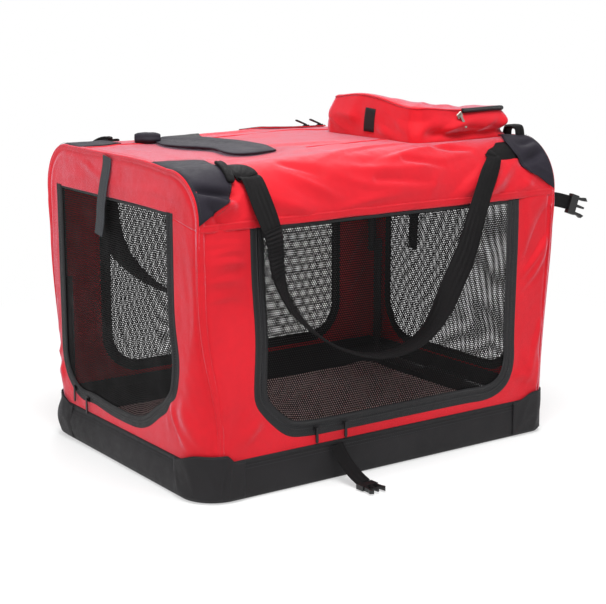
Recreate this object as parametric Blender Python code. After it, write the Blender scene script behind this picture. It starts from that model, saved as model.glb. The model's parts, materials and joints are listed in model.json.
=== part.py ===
"""Soft-sided folding pet cage: a cloth tunnel on a knee-folding tube frame.

Metres, +Z up, X along the length, -Y the front. The origin is under the middle of the
base. Every size that can be set by itself is named once, in the section of its piece.
"""

import math

import bmesh
import bpy
from mathutils import Vector

# Clearances and cloth
GAP = 0.0003  # running gap between neighbours that touch on the real cage
CLOTH = 0.003  # wall cloth with its lining
SKIN = 0.0012  # one layer of cloth or webbing sewn on top of another
WEBBING = 0.0016  # thickness of the carrying straps

# Overall body
LENGTH = 0.714
WIDTH = 0.500
HEIGHT = 0.512
SHOULDER_R = 0.085
HEM_Z = HEIGHT - SHOULDER_R
SHOULDER_Y = WIDTH / 2 - SHOULDER_R
INNER_X = LENGTH / 2 - CLOTH

# Base
BASE_H = 0.065
BASE_FLOOR = 0.003
BASE_CORNER_R = 0.020
BASE_PROUD = 0.0018  # how far the base cloth stands outside the walls
GUSSET_RISE = 0.018
GUSSET_REACH = 0.060  # along each wall, from the corner
GUSSET_SLOPE = 0.022

# Windows, measured on the wall's face: centre, half width, lower edge, top, corner radius
FRONT_WINDOW = {"centre": 0.006, "half": 0.272, "low": 0.082, "top": HEM_Z - 0.0025, "radius": 0.080}
END_WINDOW = {"centre": 0.016, "half": 0.197, "low": 0.080, "top": 0.448, "radius": 0.088}
FRONT_BINDING = 0.024
END_BINDING = 0.018
ZIP_SHARE = 0.45  # of the binding that stays on the wall, the rest is the door's
BINDING_PROUD = 0.001
HEM_BAR = 0.006  # folded top edge of a door

# Nets
NET_SHEET = 0.0012
NET_BAR = 0.006
FRONT_NET_GAPS = (12, 7)
END_NET_GAPS = (8, 7)

# Tube frame
TUBE_R = 0.008
SLEEVE_R = 0.0105  # tee sleeves of the roof rails, round the hoops' top bars
SLEEVE_LENGTH = 0.034
FRAME_X = INNER_X - GAP - SLEEVE_R
HOOP_TOP_Z = HEIGHT - CLOTH - GAP - SLEEVE_R
HOOP_BEND_R = HOOP_TOP_Z - HEM_Z
HOOP_Y = SHOULDER_Y + HOOP_BEND_R
KNEE_SPACE = 0.0031  # washer gap between the two tubes at a knee
LEG_Y = HOOP_Y - 2 * TUBE_R - KNEE_SPACE
LEG_BEND_R = 0.030
PIVOT_Z = 0.045
LINK = (HOOP_TOP_Z - PIVOT_Z) / 2
KNEE_Z = PIVOT_Z + LINK
TUBE_END = 0.013  # tube beyond its knee pin
PIN_R = 0.0030
RAIL_Y = 0.120
BASE_RING_BEND_R = 0.045
BASE_RING_Y = WIDTH / 2 - CLOTH - GAP - TUBE_R - 0.002
BRACKET_WIDTH = 0.110
BRACKET_WALL = 0.0022

# Floor mat
MAT_THICK = 0.020
MAT_CROWN = 0.006
MAT_EDGE_GAP = 0.004
MAT_CORNER_R = 0.045

# Corner patches and carrying straps
PATCH_TOP_REACH = 0.052  # up the flat of the top, from the start of the shoulder
PATCH_BY_POUCH_REACH = -0.012  # the one beside the pouch starts on the shoulder
PATCH_FALL = math.radians(78.5)  # round the shoulder
PATCH_WIDTHS = [(0.0, 0.010), (0.12, 0.083), (0.36, 0.075), (0.80, 0.058), (1.0, 0.038)]
STRAP_WIDTH = 0.038
ANCHOR_START = 0.008  # along the shoulder, from where it starts to fall
ANCHOR_LENGTH = 0.033
ANCHOR_X = (-0.258, 0.250)
ANCHOR_LIFT = (2 * GAP + SKIN, GAP)  # the left ones lie on their patches, the right ones on the roof
STRAP_LEAVES = 0.006  # of the strap that still follows the shoulder

# Loop of webbing at the roof's right end
LOOP_X = LENGTH / 2 - 0.0105
LOOP_Y = (-SHOULDER_Y - 0.005, -SHOULDER_Y + 0.037)
LOOP_WIDTH = 0.015
LOOP_RISE = 0.020

# Pouch
POUCH_X = (0.115, 0.335)
POUCH_Y = (-(SHOULDER_Y + 0.007), 0.090)
POUCH_FRONT_H = 0.056
POUCH_REAR_H = 0.070
POUCH_WALL = 0.003
POUCH_FLOOR = 0.003
POUCH_CORNER_R = 0.022
POUCH_LID = 0.0045
POUCH_TAB = {"y": (-0.057, -0.025), "z": (0.016, 0.050)}  # hook-and-loop patch on the left face

# Top handle
HANDLE_X = (-0.205, -0.095)
HANDLE_Y = (-0.115, 0.185)
HANDLE_THICK = 0.009
HANDLE_ARCH = 0.020

# Roof zip
ROOF_ZIP_X = (0.0, 0.190)
ROOF_ZIP_WIDTH = 0.012
ROOF_ZIP_ANGLE = math.radians(17)

# Zip sliders
SLIDER_LENGTH = 0.011
SLIDER_WIDTH = 0.009
SLIDER_THICK = 0.0045
PULL_LENGTH = 0.024
PULL_WIDTH = 0.0055
PULL_THICK = 0.0016
FRONT_SLIDER_X = (-0.145, -0.088)
END_SLIDER_TURN = math.radians(31)  # the rear slider of an end door has started up the bend
ROOF_PULL_RISE = math.radians(22)  # the roof's pulls lie along the zip, tips up
POUCH_SLIDER_X = 0.218

# Short straps
TETHER_WIDTH = 0.025
ROLL_STRAP_WIDTH = 0.027
LEFT_ROLL_STRAP = (0.022, 0.128)  # where along the wall, and how far it hangs
RIGHT_ROLL_STRAP = (0.120, 0.240)
FRONT_TETHER_ROOT = (-0.107, BASE_H - 0.006)
FRONT_TETHER_SLANT = 0.22  # sideways for each length it falls
FRONT_TETHER_REACH = 0.062  # out from the base
RIGHT_TETHER = 0.062
RIGHT_TETHER_INSET = 0.015  # from the front wall
BUCKLE_LENGTH = 0.038
BUCKLE_THICK = 0.008

MATERIALS = {
    "red_cloth": ((0.62, 0.012, 0.018), 0.85, 0.0),
    "base_cloth": ((0.014, 0.013, 0.015), 0.80, 0.0),
    "patch_cloth": ((0.055, 0.057, 0.072), 0.75, 0.0),
    "webbing": ((0.018, 0.018, 0.020), 0.85, 0.0),
    "binding": ((0.012, 0.013, 0.015), 0.70, 0.0),
    "net": ((0.010, 0.010, 0.011), 0.60, 0.0),
    "fleece": ((0.50, 0.45, 0.43), 0.95, 0.0),
    "tube_paint": ((0.020, 0.020, 0.022), 0.35, 0.0),
    "nylon": ((0.016, 0.016, 0.018), 0.45, 0.0),
    "zip_metal": ((0.45, 0.45, 0.46), 0.35, 1.0),
}


def material(name):
    found = bpy.data.materials.get(name)
    if found:
        return found
    colour, roughness, metallic = MATERIALS[name]
    made = bpy.data.materials.new(name)
    made.use_nodes = True
    shader = made.node_tree.nodes["Principled BSDF"]
    shader.inputs["Base Color"].default_value = (*colour, 1)
    shader.inputs["Roughness"].default_value = roughness
    shader.inputs["Metallic"].default_value = metallic
    made.diffuse_color = (*colour, 1)
    return made


def solid(name, verts, faces, slot):
    """One closed mesh object with its faces turned outward."""
    mesh = bpy.data.meshes.new(name)
    mesh.from_pydata([tuple(v) for v in verts], [], faces)
    bm = bmesh.new()
    bm.from_mesh(mesh)
    bmesh.ops.recalc_face_normals(bm, faces=bm.faces)
    bm.to_mesh(mesh)
    bm.free()
    made = bpy.data.objects.new(name, mesh)
    bpy.context.collection.objects.link(made)
    mesh.materials.append(material(slot))
    return made


def loft(name, sections, slot, closed=False):
    """A solid through cross-sections of equal count, capped unless it closes on itself."""
    count = len(sections[0])
    verts = [point for section in sections for point in section]
    faces = []
    spans = len(sections) if closed else len(sections) - 1
    for i in range(spans):
        a = i * count
        b = (i + 1) % len(sections) * count
        for k in range(count):
            n = (k + 1) % count
            faces.append((a + k, a + n, b + n, b + k))
    if not closed:
        faces.append(tuple(reversed(range(count))))
        faces.append(tuple(range(len(verts) - count, len(verts))))
    return solid(name, verts, faces, slot)


def prism(name, outline, place, low, high, slot):
    """An outline extruded from low to high. place(u, v, w) gives the world point."""
    sections = [[place(u, v, w) for u, v in outline] for w in (low, high)]
    return loft(name, sections, slot)


def combine(target, others, operation):
    """Boolean other objects into or out of the target and drop them."""
    for other in others:
        step = target.modifiers.new("combine", "BOOLEAN")
        step.operation = operation
        step.solver = "EXACT"
        step.object = other
        with bpy.context.temp_override(object=target, active_object=target):
            bpy.ops.object.modifier_apply(modifier=step.name)
        bpy.data.objects.remove(other)
    return target


def flat(u, v, w):
    return Vector((u, v, w))


def across_y(u, v, w):
    """Outline in X and Z, depth along Y."""
    return Vector((u, w, v))


def across_x(u, v, w):
    """Outline in Y and Z, depth along X."""
    return Vector((w, u, v))


def arc(centre, radius, start, end, steps):
    """Points on an arc in degrees, both ends included."""
    angles = [math.radians(start + (end - start) * i / steps) for i in range(steps + 1)]
    return [(centre[0] + radius * math.cos(a), centre[1] + radius * math.sin(a)) for a in angles]


def rounded_rectangle(x, y, radius, steps=6):
    points = []
    for sx, sy, start in ((1, 1, 0), (-1, 1, 90), (-1, -1, 180), (1, -1, 270)):
        centre = (sx * (x - radius), sy * (y - radius))
        points += arc(centre, radius, start, start + 90, steps)
    return points


def box(name, low, high, slot):
    outline = [(low[0], low[1]), (high[0], low[1]), (high[0], high[1]), (low[0], high[1])]
    return prism(name, outline, flat, low[2], high[2], slot)


def tube(name, points, radius, slot, sides=12, closed=False):
    """A round bar along points, each ring square to the run."""
    path = [Vector(p) for p in points]
    count = len(path)
    rings = []
    side = None
    for i, point in enumerate(path):
        if closed:
            along = path[(i + 1) % count] - path[i - 1]
        else:
            along = path[min(i + 1, count - 1)] - path[max(i - 1, 0)]
        along.normalize()
        if side is None:
            side = along.orthogonal().normalized()
        side = (side - along * side.dot(along)).normalized()
        other = along.cross(side)
        angles = [math.tau * k / sides for k in range(sides)]
        rings.append([point + radius * (math.cos(a) * side + math.sin(a) * other) for a in angles])
    return loft(name, rings, slot, closed)


def bar(name, start, end, radius, slot, sides=16):
    return tube(name, [start, end], radius, slot, sides)


def smooth_curve(points, steps):
    """A Catmull-Rom curve through points of any dimension."""
    path = [Vector(p) for p in points]
    ends = [2 * path[0] - path[1]] + path + [2 * path[-1] - path[-2]]
    curve = []
    for i in range(1, len(ends) - 2):
        a, b, c, d = ends[i - 1 : i + 3]
        for k in range(steps):
            t = k / steps
            square = (2 * a - 5 * b + 4 * c - d) * t**2
            cube = (3 * b - a - 3 * c + d) * t**3
            curve.append(0.5 * (2 * b + (c - a) * t + square + cube))
    curve.append(path[-1])
    return curve


def band(name, points, across, width, thick, slot):
    """Flat webbing along points, with the direction across it at each point."""
    path = [Vector(p) for p in points]
    sections = []
    for i, point in enumerate(path):
        along = (path[min(i + 1, len(path) - 1)] - path[max(i - 1, 0)]).normalized()
        side = Vector(across[i])
        side = (side - along * side.dot(along)).normalized() * width / 2
        face = along.cross(side).normalized() * thick / 2
        sections.append([point - side - face, point + side - face, point + side + face, point - side + face])
    return loft(name, sections, slot)


# Windows and nets


def window_side(window, inset, top, steps=8):
    """The sides and lower edge of a window from its top left, inset all the way."""
    half = window["half"] - inset
    low = window["low"] + inset
    radius = window["radius"] - inset
    c = window["centre"]
    points = [(c - half, top)]
    points += arc((c - half + radius, low + radius), radius, 180, 270, steps)
    points += arc((c + half - radius, low + radius), radius, 270, 360, steps)
    points.append((c + half, top))
    return points


def window_ring(name, window, outer, inner, top_bar, place, low, high, slot):
    """A closed edge round a window between two insets, with a bar along its top."""
    top = window["top"] - GAP
    outside = window_side(window, outer, top)
    inside = window_side(window, inner, top - top_bar)
    sections = []
    for (au, av), (bu, bv) in zip(outside, inside):
        sections.append([place(au, av, low), place(bu, bv, low), place(bu, bv, high), place(au, av, high)])
    return loft(name, sections, slot, closed=True)


def window_edge(name, window, outer, inner, place, low, high, slot):
    """An edge round the sides and foot of a window, open at its top."""
    top = window["top"] - GAP
    sections = []
    for (au, av), (bu, bv) in zip(window_side(window, outer, top), window_side(window, inner, top)):
        sections.append([place(au, av, low), place(bu, bv, low), place(bu, bv, high), place(au, av, high)])
    return loft(name, sections, slot)


def inside_window(window, inset, u, v):
    """Whether a point lies within the window's rounded lower corners."""
    half = window["half"] - inset
    low = window["low"] + inset
    radius = window["radius"] - inset
    du = abs(u - window["centre"]) - (half - radius)
    dv = low + radius - v
    if du > 0 and dv > 0:
        return math.hypot(du, dv) < radius
    return abs(u - window["centre"]) < half and v > low


def net(name, window, inset, top_bar, gaps, place, depth):
    """A flat net: a sheet with the window's outline and a grid of open gaps."""
    top = window["top"] - GAP - top_bar - GAP
    outline = window_side(window, inset, top)
    sheet = prism(name, outline, place, depth, depth + NET_SHEET, "net")
    half = window["half"] - inset - NET_BAR
    low = window["low"] + inset + NET_BAR
    step_u = (2 * half + NET_BAR) / gaps[0]
    step_v = (top - low) / gaps[1]
    verts = []
    faces = []
    for i in range(gaps[0]):
        for k in range(gaps[1]):
            u = window["centre"] - half + i * step_u
            v = low + k * step_v
            corners = [(u, v), (u + step_u - NET_BAR, v)]
            corners += [(u + step_u - NET_BAR, v + step_v - NET_BAR), (u, v + step_v - NET_BAR)]
            if not all(inside_window(window, inset + NET_BAR / 2, *corner) for corner in corners):
                continue
            first = len(verts)
            for w in (depth - NET_SHEET, depth + 2 * NET_SHEET):
                verts += [place(cu, cv, w) for cu, cv in corners]
            quads = [(0, 1, 2, 3), (4, 5, 6, 7), (0, 1, 5, 4), (1, 2, 6, 5), (2, 3, 7, 6), (3, 0, 4, 7)]
            faces += [tuple(first + n for n in quad) for quad in quads]
    return combine(sheet, [solid("gaps", verts, faces, "net")], "DIFFERENCE")


# Base


def base_tub():
    """The black base cloth: a tray whose four corners rise as gussets outside the walls."""
    outer_x = LENGTH / 2 + BASE_PROUD
    outer_y = WIDTH / 2 + BASE_PROUD
    outline = rounded_rectangle(outer_x, outer_y, BASE_CORNER_R)
    tub = prism("base_tub", outline, flat, 0, BASE_H, "base_cloth")
    hollow = rounded_rectangle(INNER_X, WIDTH / 2 - CLOTH, BASE_CORNER_R - CLOTH)
    combine(tub, [prism("hollow", hollow, flat, BASE_FLOOR, 2 * BASE_H, "base_cloth")], "DIFFERENCE")
    root = BASE_H - 0.004
    for sx in (-1, 1):
        for sy in (-1, 1):
            combine(tub, [gusset(sx, sy, root)], "UNION")
    return tub


def gusset(sx, sy, root):
    """A sleeve round one bottom corner, higher at the corner than at its ends."""
    inner_x = LENGTH / 2 + GAP
    inner_y = WIDTH / 2 + GAP
    outer_x = LENGTH / 2 + BASE_PROUD
    outer_y = WIDTH / 2 + BASE_PROUD
    low_top = BASE_H + 0.002
    high_top = BASE_H + GUSSET_RISE
    ends = [(GUSSET_REACH, low_top), (GUSSET_REACH - GUSSET_SLOPE, high_top)]
    stations = [(inner_x - s, inner_y, inner_x - s, outer_y, top) for s, top in ends]
    round_r = 0.004
    for px, py in reversed(arc((outer_x - round_r, outer_y - round_r), round_r, 0, 90, 4)):
        stations.append((inner_x, inner_y, px, py, high_top))
    stations += [(inner_x, inner_y - s, outer_x, inner_y - s, top) for s, top in reversed(ends)]
    sections = []
    for ix, iy, ox, oy, top in stations:
        spread = Vector((0, 0, 0))
        if (ix, iy) == (inner_x, inner_y):
            spread = Vector((ox - outer_x, oy - outer_y, 0)) * 0.02
        inner = Vector((ix, iy, 0)) + spread
        sections.append(
            [
                Vector((sx * inner.x, sy * inner.y, root)),
                Vector((sx * ox, sy * oy, root)),
                Vector((sx * ox, sy * oy, top)),
                Vector((sx * inner.x, sy * inner.y, top)),
            ]
        )
    return loft("gusset", sections, "base_cloth")


def floor_mat():
    """A fleece mat with drawn-in sides and a low crown, lying inside the base ring."""
    x = FRAME_X - TUBE_R - MAT_EDGE_GAP
    y = BASE_RING_Y - TUBE_R - MAT_EDGE_GAP
    floor = BASE_FLOOR + GAP
    rings = [(0.004, 0.0), (0.0, 0.30), (0.0, 0.62), (0.004, 0.88), (0.014, 1.0)]
    rings = [(inset, floor + share * MAT_THICK) for inset, share in rings]
    crown = [(0.05, 0.45), (0.10, 0.80), (0.16, 1.0)]
    rings += [(inset, floor + MAT_THICK + share * MAT_CROWN) for inset, share in crown]
    sections = []
    for inset, z in rings:
        radius = max(MAT_CORNER_R - inset * 0.2, 0.01)
        outline = rounded_rectangle(x - inset, y - inset, radius)
        sections.append([Vector((px, py, z)) for px, py in outline])
    return loft("floor_mat", sections, "fleece")


# Walls


def long_wall(name, side):
    """The front or rear wall: a U of cloth round its window, from the base to the hem."""
    edge = INNER_X - GAP
    top = HEM_Z - GAP
    low = BASE_H + GAP
    outline = [(-edge, top), (-edge, low), (edge, low), (edge, top)]
    outline += list(reversed(window_side(FRONT_WINDOW, 0, top)))
    return prism(name, outline, across_y, side * WIDTH / 2, side * (WIDTH / 2 - CLOTH), "red_cloth")


def tunnel(half, low, shoulder, radius, steps=8):
    points = [(half, low)]
    points += arc((half - radius, shoulder), radius, 0, 90, steps)
    points += arc((radius - half, shoulder), radius, 90, 180, steps)
    points.append((-half, low))
    return points


def end_wall(name, side):
    """A flat end wall with the tunnel's outline and a window."""
    outline = tunnel(WIDTH / 2, BASE_H + GAP, HEM_Z, SHOULDER_R)
    wall = prism(name, outline, across_x, side * LENGTH / 2, side * INNER_X, "red_cloth")
    hole = window_side(END_WINDOW, 0, END_WINDOW["top"])
    cutter = prism("hole", hole, across_x, side * (INNER_X - CLOTH), side * (LENGTH / 2 + CLOTH), "red_cloth")
    return combine(wall, [cutter], "DIFFERENCE")


def top_panel():
    """The roof cloth with both shoulders, hem to hem."""
    inner_r = SHOULDER_R - CLOTH
    rear, front = (SHOULDER_Y, HEM_Z), (-SHOULDER_Y, HEM_Z)
    outside = arc(rear, SHOULDER_R, 0, 90, 10) + arc(front, SHOULDER_R, 90, 180, 10)
    inside = arc(front, inner_r, 180, 90, 10) + arc(rear, inner_r, 90, 0, 10)
    edge = INNER_X - GAP
    return prism("top_panel", outside + inside, across_x, -edge, edge, "red_cloth")


def openings():
    """Zips on the walls, doors of net with their edges, and the fixed rear window."""
    depth = CLOTH + BINDING_PROUD
    for name, window, binding, gaps, place, face in (
        ("front", FRONT_WINDOW, FRONT_BINDING, FRONT_NET_GAPS, across_y, -WIDTH / 2 - BINDING_PROUD),
        ("left", END_WINDOW, END_BINDING, END_NET_GAPS, across_x, -LENGTH / 2 - BINDING_PROUD),
        ("right", END_WINDOW, END_BINDING, END_NET_GAPS, across_x, INNER_X),
    ):
        zip_width = binding * ZIP_SHARE
        window_edge(name + "_zip", window, GAP, zip_width, place, face, face + depth, "binding")
        edge = (name + "_door_edge", window, zip_width + GAP, binding, HEM_BAR)
        window_ring(*edge, place, face, face + depth, "binding")
        net(name + "_door_net", window, binding + GAP, HEM_BAR, gaps, place, face + depth / 2 - NET_SHEET / 2)
    rear = WIDTH / 2 - CLOTH
    edge = ("rear_binding", FRONT_WINDOW, GAP, FRONT_BINDING, HEM_BAR)
    window_ring(*edge, across_y, rear, rear + depth, "binding")
    middle = rear + depth / 2 - NET_SHEET / 2
    net("rear_net", FRONT_WINDOW, FRONT_BINDING + GAP, HEM_BAR, FRONT_NET_GAPS, across_y, middle)


# Tube frame


def base_ring():
    z = BASE_FLOOR + GAP + TUBE_R
    path = rounded_rectangle(FRAME_X, BASE_RING_Y, BASE_RING_BEND_R, 4)
    return tube("base_ring", [(x, y, z) for x, y in path], TUBE_R, "tube_paint", 10, closed=True)


def lower_legs(name, x):
    """A U of tube: a bar that turns in the base bracket, and two legs up to the knees."""
    bend = arc((LEG_Y - LEG_BEND_R, PIVOT_Z + LEG_BEND_R), LEG_BEND_R, -90, 0, 6)
    half = [*bend, (LEG_Y, KNEE_Z + TUBE_END)]
    path = [(-y, z) for y, z in reversed(half)] + half
    legs = tube(name, [(x, y, z) for y, z in path], TUBE_R, "tube_paint")
    holes = []
    for side in (-1, 1):
        start = (x, side * (LEG_Y - 2 * TUBE_R), KNEE_Z)
        end = (x, side * (LEG_Y + 2 * TUBE_R), KNEE_Z)
        holes.append(bar("hole", start, end, PIN_R + GAP, "tube_paint", 12))
    return combine(legs, holes, "DIFFERENCE")


def upper_hoop(name, x):
    """An inverted U of tube that stands on the legs' knee pins."""
    bend = arc((SHOULDER_Y, HEM_Z), HOOP_BEND_R, 0, 90, 8)
    half = [(HOOP_Y, KNEE_Z - TUBE_END), *bend]
    path = half + [(-y, z) for y, z in reversed(half)]
    hoop = tube(name, [(x, y, z) for y, z in path], TUBE_R, "tube_paint")
    pins = []
    for side in (-1, 1):
        start = (x, side * HOOP_Y, KNEE_Z)
        end = (x, side * (LEG_Y - TUBE_R - 0.0015), KNEE_Z)
        pins.append(bar("pin", start, end, PIN_R, "tube_paint", 12))
    return combine(hoop, pins, "UNION")


def bracket(name, x):
    """The saddle that carries a leg bar above the base ring."""
    low = BASE_FLOOR + GAP + 2 * TUBE_R + GAP
    high = PIVOT_Z + TUBE_R + BRACKET_WALL
    reach = TUBE_R + BRACKET_WALL
    block = box(name, (x - reach, -BRACKET_WIDTH / 2, low), (x + reach, BRACKET_WIDTH / 2, high), "nylon")
    hole = bar("hole", (x, -BRACKET_WIDTH, PIVOT_Z), (x, BRACKET_WIDTH, PIVOT_Z), TUBE_R + GAP, "nylon")
    return combine(block, [hole], "DIFFERENCE")


def roof_rail(name, y):
    """A rail along the roof with a tee sleeve round each hoop's top bar."""
    rail = bar(name, (-FRAME_X, y, HOOP_TOP_Z), (FRAME_X, y, HOOP_TOP_Z), TUBE_R, "tube_paint", 12)
    sleeves = []
    holes = []
    for x in (-FRAME_X, FRAME_X):
        half = SLEEVE_LENGTH / 2
        ends = (x, y - half, HOOP_TOP_Z), (x, y + half, HOOP_TOP_Z)
        sleeves.append(bar("sleeve", *ends, SLEEVE_R, "tube_paint"))
        ends = (x, y - 2 * half, HOOP_TOP_Z), (x, y + 2 * half, HOOP_TOP_Z)
        holes.append(bar("hole", *ends, TUBE_R + GAP, "tube_paint"))
    combine(rail, sleeves, "UNION")
    return combine(rail, holes, "DIFFERENCE")


# On the roof


def over_shoulder(x, s, lift, side):
    """A point on the roof cloth, s along it from where the shoulder starts, lifted off it."""
    if s <= 0:
        return Vector((x, side * (SHOULDER_Y + s), HEIGHT + lift))
    a = s / SHOULDER_R
    reach = SHOULDER_R + lift
    return Vector((x, side * (SHOULDER_Y + reach * math.sin(a)), HEM_Z + reach * math.cos(a)))


def patch_width(share):
    for (a, wa), (b, wb) in zip(PATCH_WIDTHS, PATCH_WIDTHS[1:]):
        if share <= b:
            t = (share - a) / (b - a)
            return wa + (wb - wa) * t
    return PATCH_WIDTHS[-1][1]


def corner_patch(name, end, side, top_reach):
    """A patch over the shoulder at one top corner, from a tip on the roof's edge."""
    fall = PATCH_FALL * SHOULDER_R
    steps = 14
    sections = []
    first = (PATCH_TOP_REACH - top_reach) / (PATCH_TOP_REACH + fall)
    for i in range(steps + 1):
        share = first + (1 - first) * i / steps
        s = -PATCH_TOP_REACH + share * (PATCH_TOP_REACH + fall)
        outer = end * (INNER_X - GAP)
        inner = end * (INNER_X - GAP - patch_width(share))
        low, high = GAP, GAP + SKIN
        sections.append(
            [
                over_shoulder(outer, s, low, side),
                over_shoulder(inner, s, low, side),
                over_shoulder(inner, s, high, side),
                over_shoulder(outer, s, high, side),
            ]
        )
    return loft(name, sections, "patch_cloth")


def strap_anchor(name, x, low, side):
    """The sewn end of a carrying strap, lying on the roof by the corner patch."""
    steps = 6
    high = low + WEBBING
    sections = []
    for i in range(steps + 1):
        s = ANCHOR_START + ANCHOR_LENGTH * i / steps
        near, far = x - STRAP_WIDTH / 2, x + STRAP_WIDTH / 2
        sections.append(
            [
                over_shoulder(near, s, low, side),
                over_shoulder(far, s, low, side),
                over_shoulder(far, s, high, side),
                over_shoulder(near, s, high, side),
            ]
        )
    return loft(name, sections, "webbing")


# Hanging run of a carrying strap: x, distance out from the wall, z, turn of the webbing.
# It starts and ends on the shoulder, in line with its sewn ends.
STRAP_RUN = [
    (ANCHOR_X[0] + 0.0004, -0.020, 0.4945, 1),
    (-0.2555, 0.0075, 0.463, 3),
    (-0.242, 0.020, 0.412, 8),
    (-0.231, 0.022, 0.350, 25),
    (-0.200, 0.024, 0.292, 55),
    (-0.131, 0.027, 0.232, 80),
    (-0.052, 0.030, 0.203, 88),
    (0.020, 0.030, 0.207, 88),
    (0.073, 0.027, 0.236, 80),
    (0.112, 0.024, 0.292, 50),
    (0.150, 0.022, 0.352, 20),
    (0.180, 0.021, 0.408, 8),
    (0.2105, 0.0085, 0.461, 4),
    (ANCHOR_X[1] - 0.0006, -0.0195, 0.4945, 1),
]


def carry_strap(name, side):
    """A long strap that hangs from two anchors and turns edge-on at its lowest part."""
    leave = ANCHOR_START + ANCHOR_LENGTH + GAP
    ends = []
    for x, low in zip(ANCHOR_X, ANCHOR_LIFT):
        for s, rise in ((leave, 0), (leave + STRAP_LEAVES, GAP)):
            at = over_shoulder(x, s, low + WEBBING / 2 + rise, 1)
            ends.append((x, at.y - WIDTH / 2, at.z, 0))
    route = ends[:2] + STRAP_RUN + [ends[3], ends[2]]
    run = smooth_curve(route, 5)
    points = []
    across = []
    for i, (x, out, z, turn) in enumerate(run):
        before, after = run[max(i - 1, 0)], run[min(i + 1, len(run) - 1)]
        along = Vector((after[0] - before[0], 0, after[2] - before[2]))
        rise = max(z - HEM_Z, 0) / SHOULDER_R
        level = Vector((along.z, 0, -along.x)).normalized()
        level = level.lerp(Vector((math.copysign(1, level.x), 0, 0)), min(rise, 1))
        a = math.radians(turn)
        points.append(Vector((x, side * (WIDTH / 2 + out), z)))
        across.append(level * math.cos(a) + Vector((0, side * math.sin(a), 0)))
    return band(name, points, across, STRAP_WIDTH, WEBBING, "webbing")


def pouch_outline(inset):
    low_y, high_y = POUCH_Y
    middle = ((POUCH_X[0] + POUCH_X[1]) / 2, (low_y + high_y) / 2)
    half_x = (POUCH_X[1] - POUCH_X[0]) / 2 - inset
    half_y = (high_y - low_y) / 2 - inset
    outline = rounded_rectangle(half_x, half_y, POUCH_CORNER_R - inset, 5)
    return [(x + middle[0], y + middle[1]) for x, y in outline]


def pouch_top(y):
    """Height of the pouch's upper edge over the roof at y, higher at the rear."""
    share = (y - POUCH_Y[0]) / (POUCH_Y[1] - POUCH_Y[0])
    return POUCH_FRONT_H + (POUCH_REAR_H - POUCH_FRONT_H) * share


def pouch():
    """A cloth pouch on the roof, open under its lid."""
    foot = HEIGHT + GAP
    sections = [
        [Vector((x, y, foot)) for x, y in pouch_outline(0)],
        [Vector((x, y, HEIGHT + pouch_top(y) - POUCH_LID - GAP)) for x, y in pouch_outline(0)],
    ]
    body = loft("pouch_body", sections, "red_cloth")
    inside = [
        [Vector((x, y, foot + POUCH_FLOOR)) for x, y in pouch_outline(POUCH_WALL)],
        [Vector((x, y, HEIGHT + 2 * POUCH_REAR_H)) for x, y in pouch_outline(POUCH_WALL)],
    ]
    combine(body, [loft("hollow", inside, "red_cloth")], "DIFFERENCE")
    tab = []
    for x in (POUCH_X[0] - GAP, POUCH_X[0] - GAP - SKIN):
        (y0, y1), (z0, z1) = POUCH_TAB["y"], POUCH_TAB["z"]
        tab.append([Vector((x, y, HEIGHT + z)) for y, z in ((y0, z0), (y1, z0), (y1, z1), (y0, z1))])
    loft("pouch_tab", tab, "webbing")
    lid = []
    for drop, inset in ((POUCH_LID, 0.0), (0.001, 0.0), (0.0, 0.001)):
        lid.append([Vector((x, y, HEIGHT + pouch_top(y) - drop)) for x, y in pouch_outline(inset)])
    loft("pouch_lid", lid, "red_cloth")


def roof_loop():
    """A loop of webbing that stands on the roof between the pouch and the right end."""
    middle = (LOOP_Y[0] + LOOP_Y[1]) / 2
    half = (LOOP_Y[1] - LOOP_Y[0]) / 2
    rise = [(-1.0, 0.0), (-0.80, 0.0), (-0.70, 0.45), (-0.45, 0.90), (0.0, 1.0)]
    rise += [(-share, height) for share, height in reversed(rise[:-1])]
    foot = HEIGHT + GAP + WEBBING / 2
    points = [(LOOP_X, middle + half * share, foot + LOOP_RISE * height) for share, height in rise]
    return band("roof_loop", points, [(1, 0, 0)] * len(points), LOOP_WIDTH, WEBBING, "webbing")


def top_handle():
    """A padded grip that arches a little over the roof between its sewn ends."""
    steps = 12
    middle_x = (HANDLE_X[0] + HANDLE_X[1]) / 2
    full = (HANDLE_X[1] - HANDLE_X[0]) / 2
    sections = []
    for i in range(steps + 1):
        share = i / steps
        y = HANDLE_Y[0] + (HANDLE_Y[1] - HANDLE_Y[0]) * share
        half = full * (0.30 + 0.70 * math.sin(math.pi * share) ** 0.7)
        z = HEIGHT + GAP + HANDLE_ARCH * math.sin(math.pi * share) ** 0.8
        high = z + HANDLE_THICK * (0.45 + 0.55 * math.sin(math.pi * share))
        edge = half - HANDLE_THICK * 0.35
        sections.append(
            [
                Vector((middle_x - half, y, (z + high) / 2)),
                Vector((middle_x - edge, y, z)),
                Vector((middle_x + edge, y, z)),
                Vector((middle_x + half, y, (z + high) / 2)),
                Vector((middle_x + edge, y, high)),
                Vector((middle_x - edge, y, high)),
            ]
        )
    return loft("top_handle", sections, "patch_cloth")


def roof_zip():
    """A covered zip along the rear shoulder."""
    sections = []
    for x in ROOF_ZIP_X:
        s = ROOF_ZIP_ANGLE * SHOULDER_R
        half = ROOF_ZIP_WIDTH / 2
        sections.append(
            [
                over_shoulder(x, s - half, GAP, 1),
                over_shoulder(x, s + half, GAP, 1),
                over_shoulder(x, s + half, GAP + SKIN, 1),
                over_shoulder(x, s - half, GAP + SKIN, 1),
            ]
        )
    return loft("roof_zip", sections, "red_cloth")


# Sliders, short straps and buckles


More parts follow.
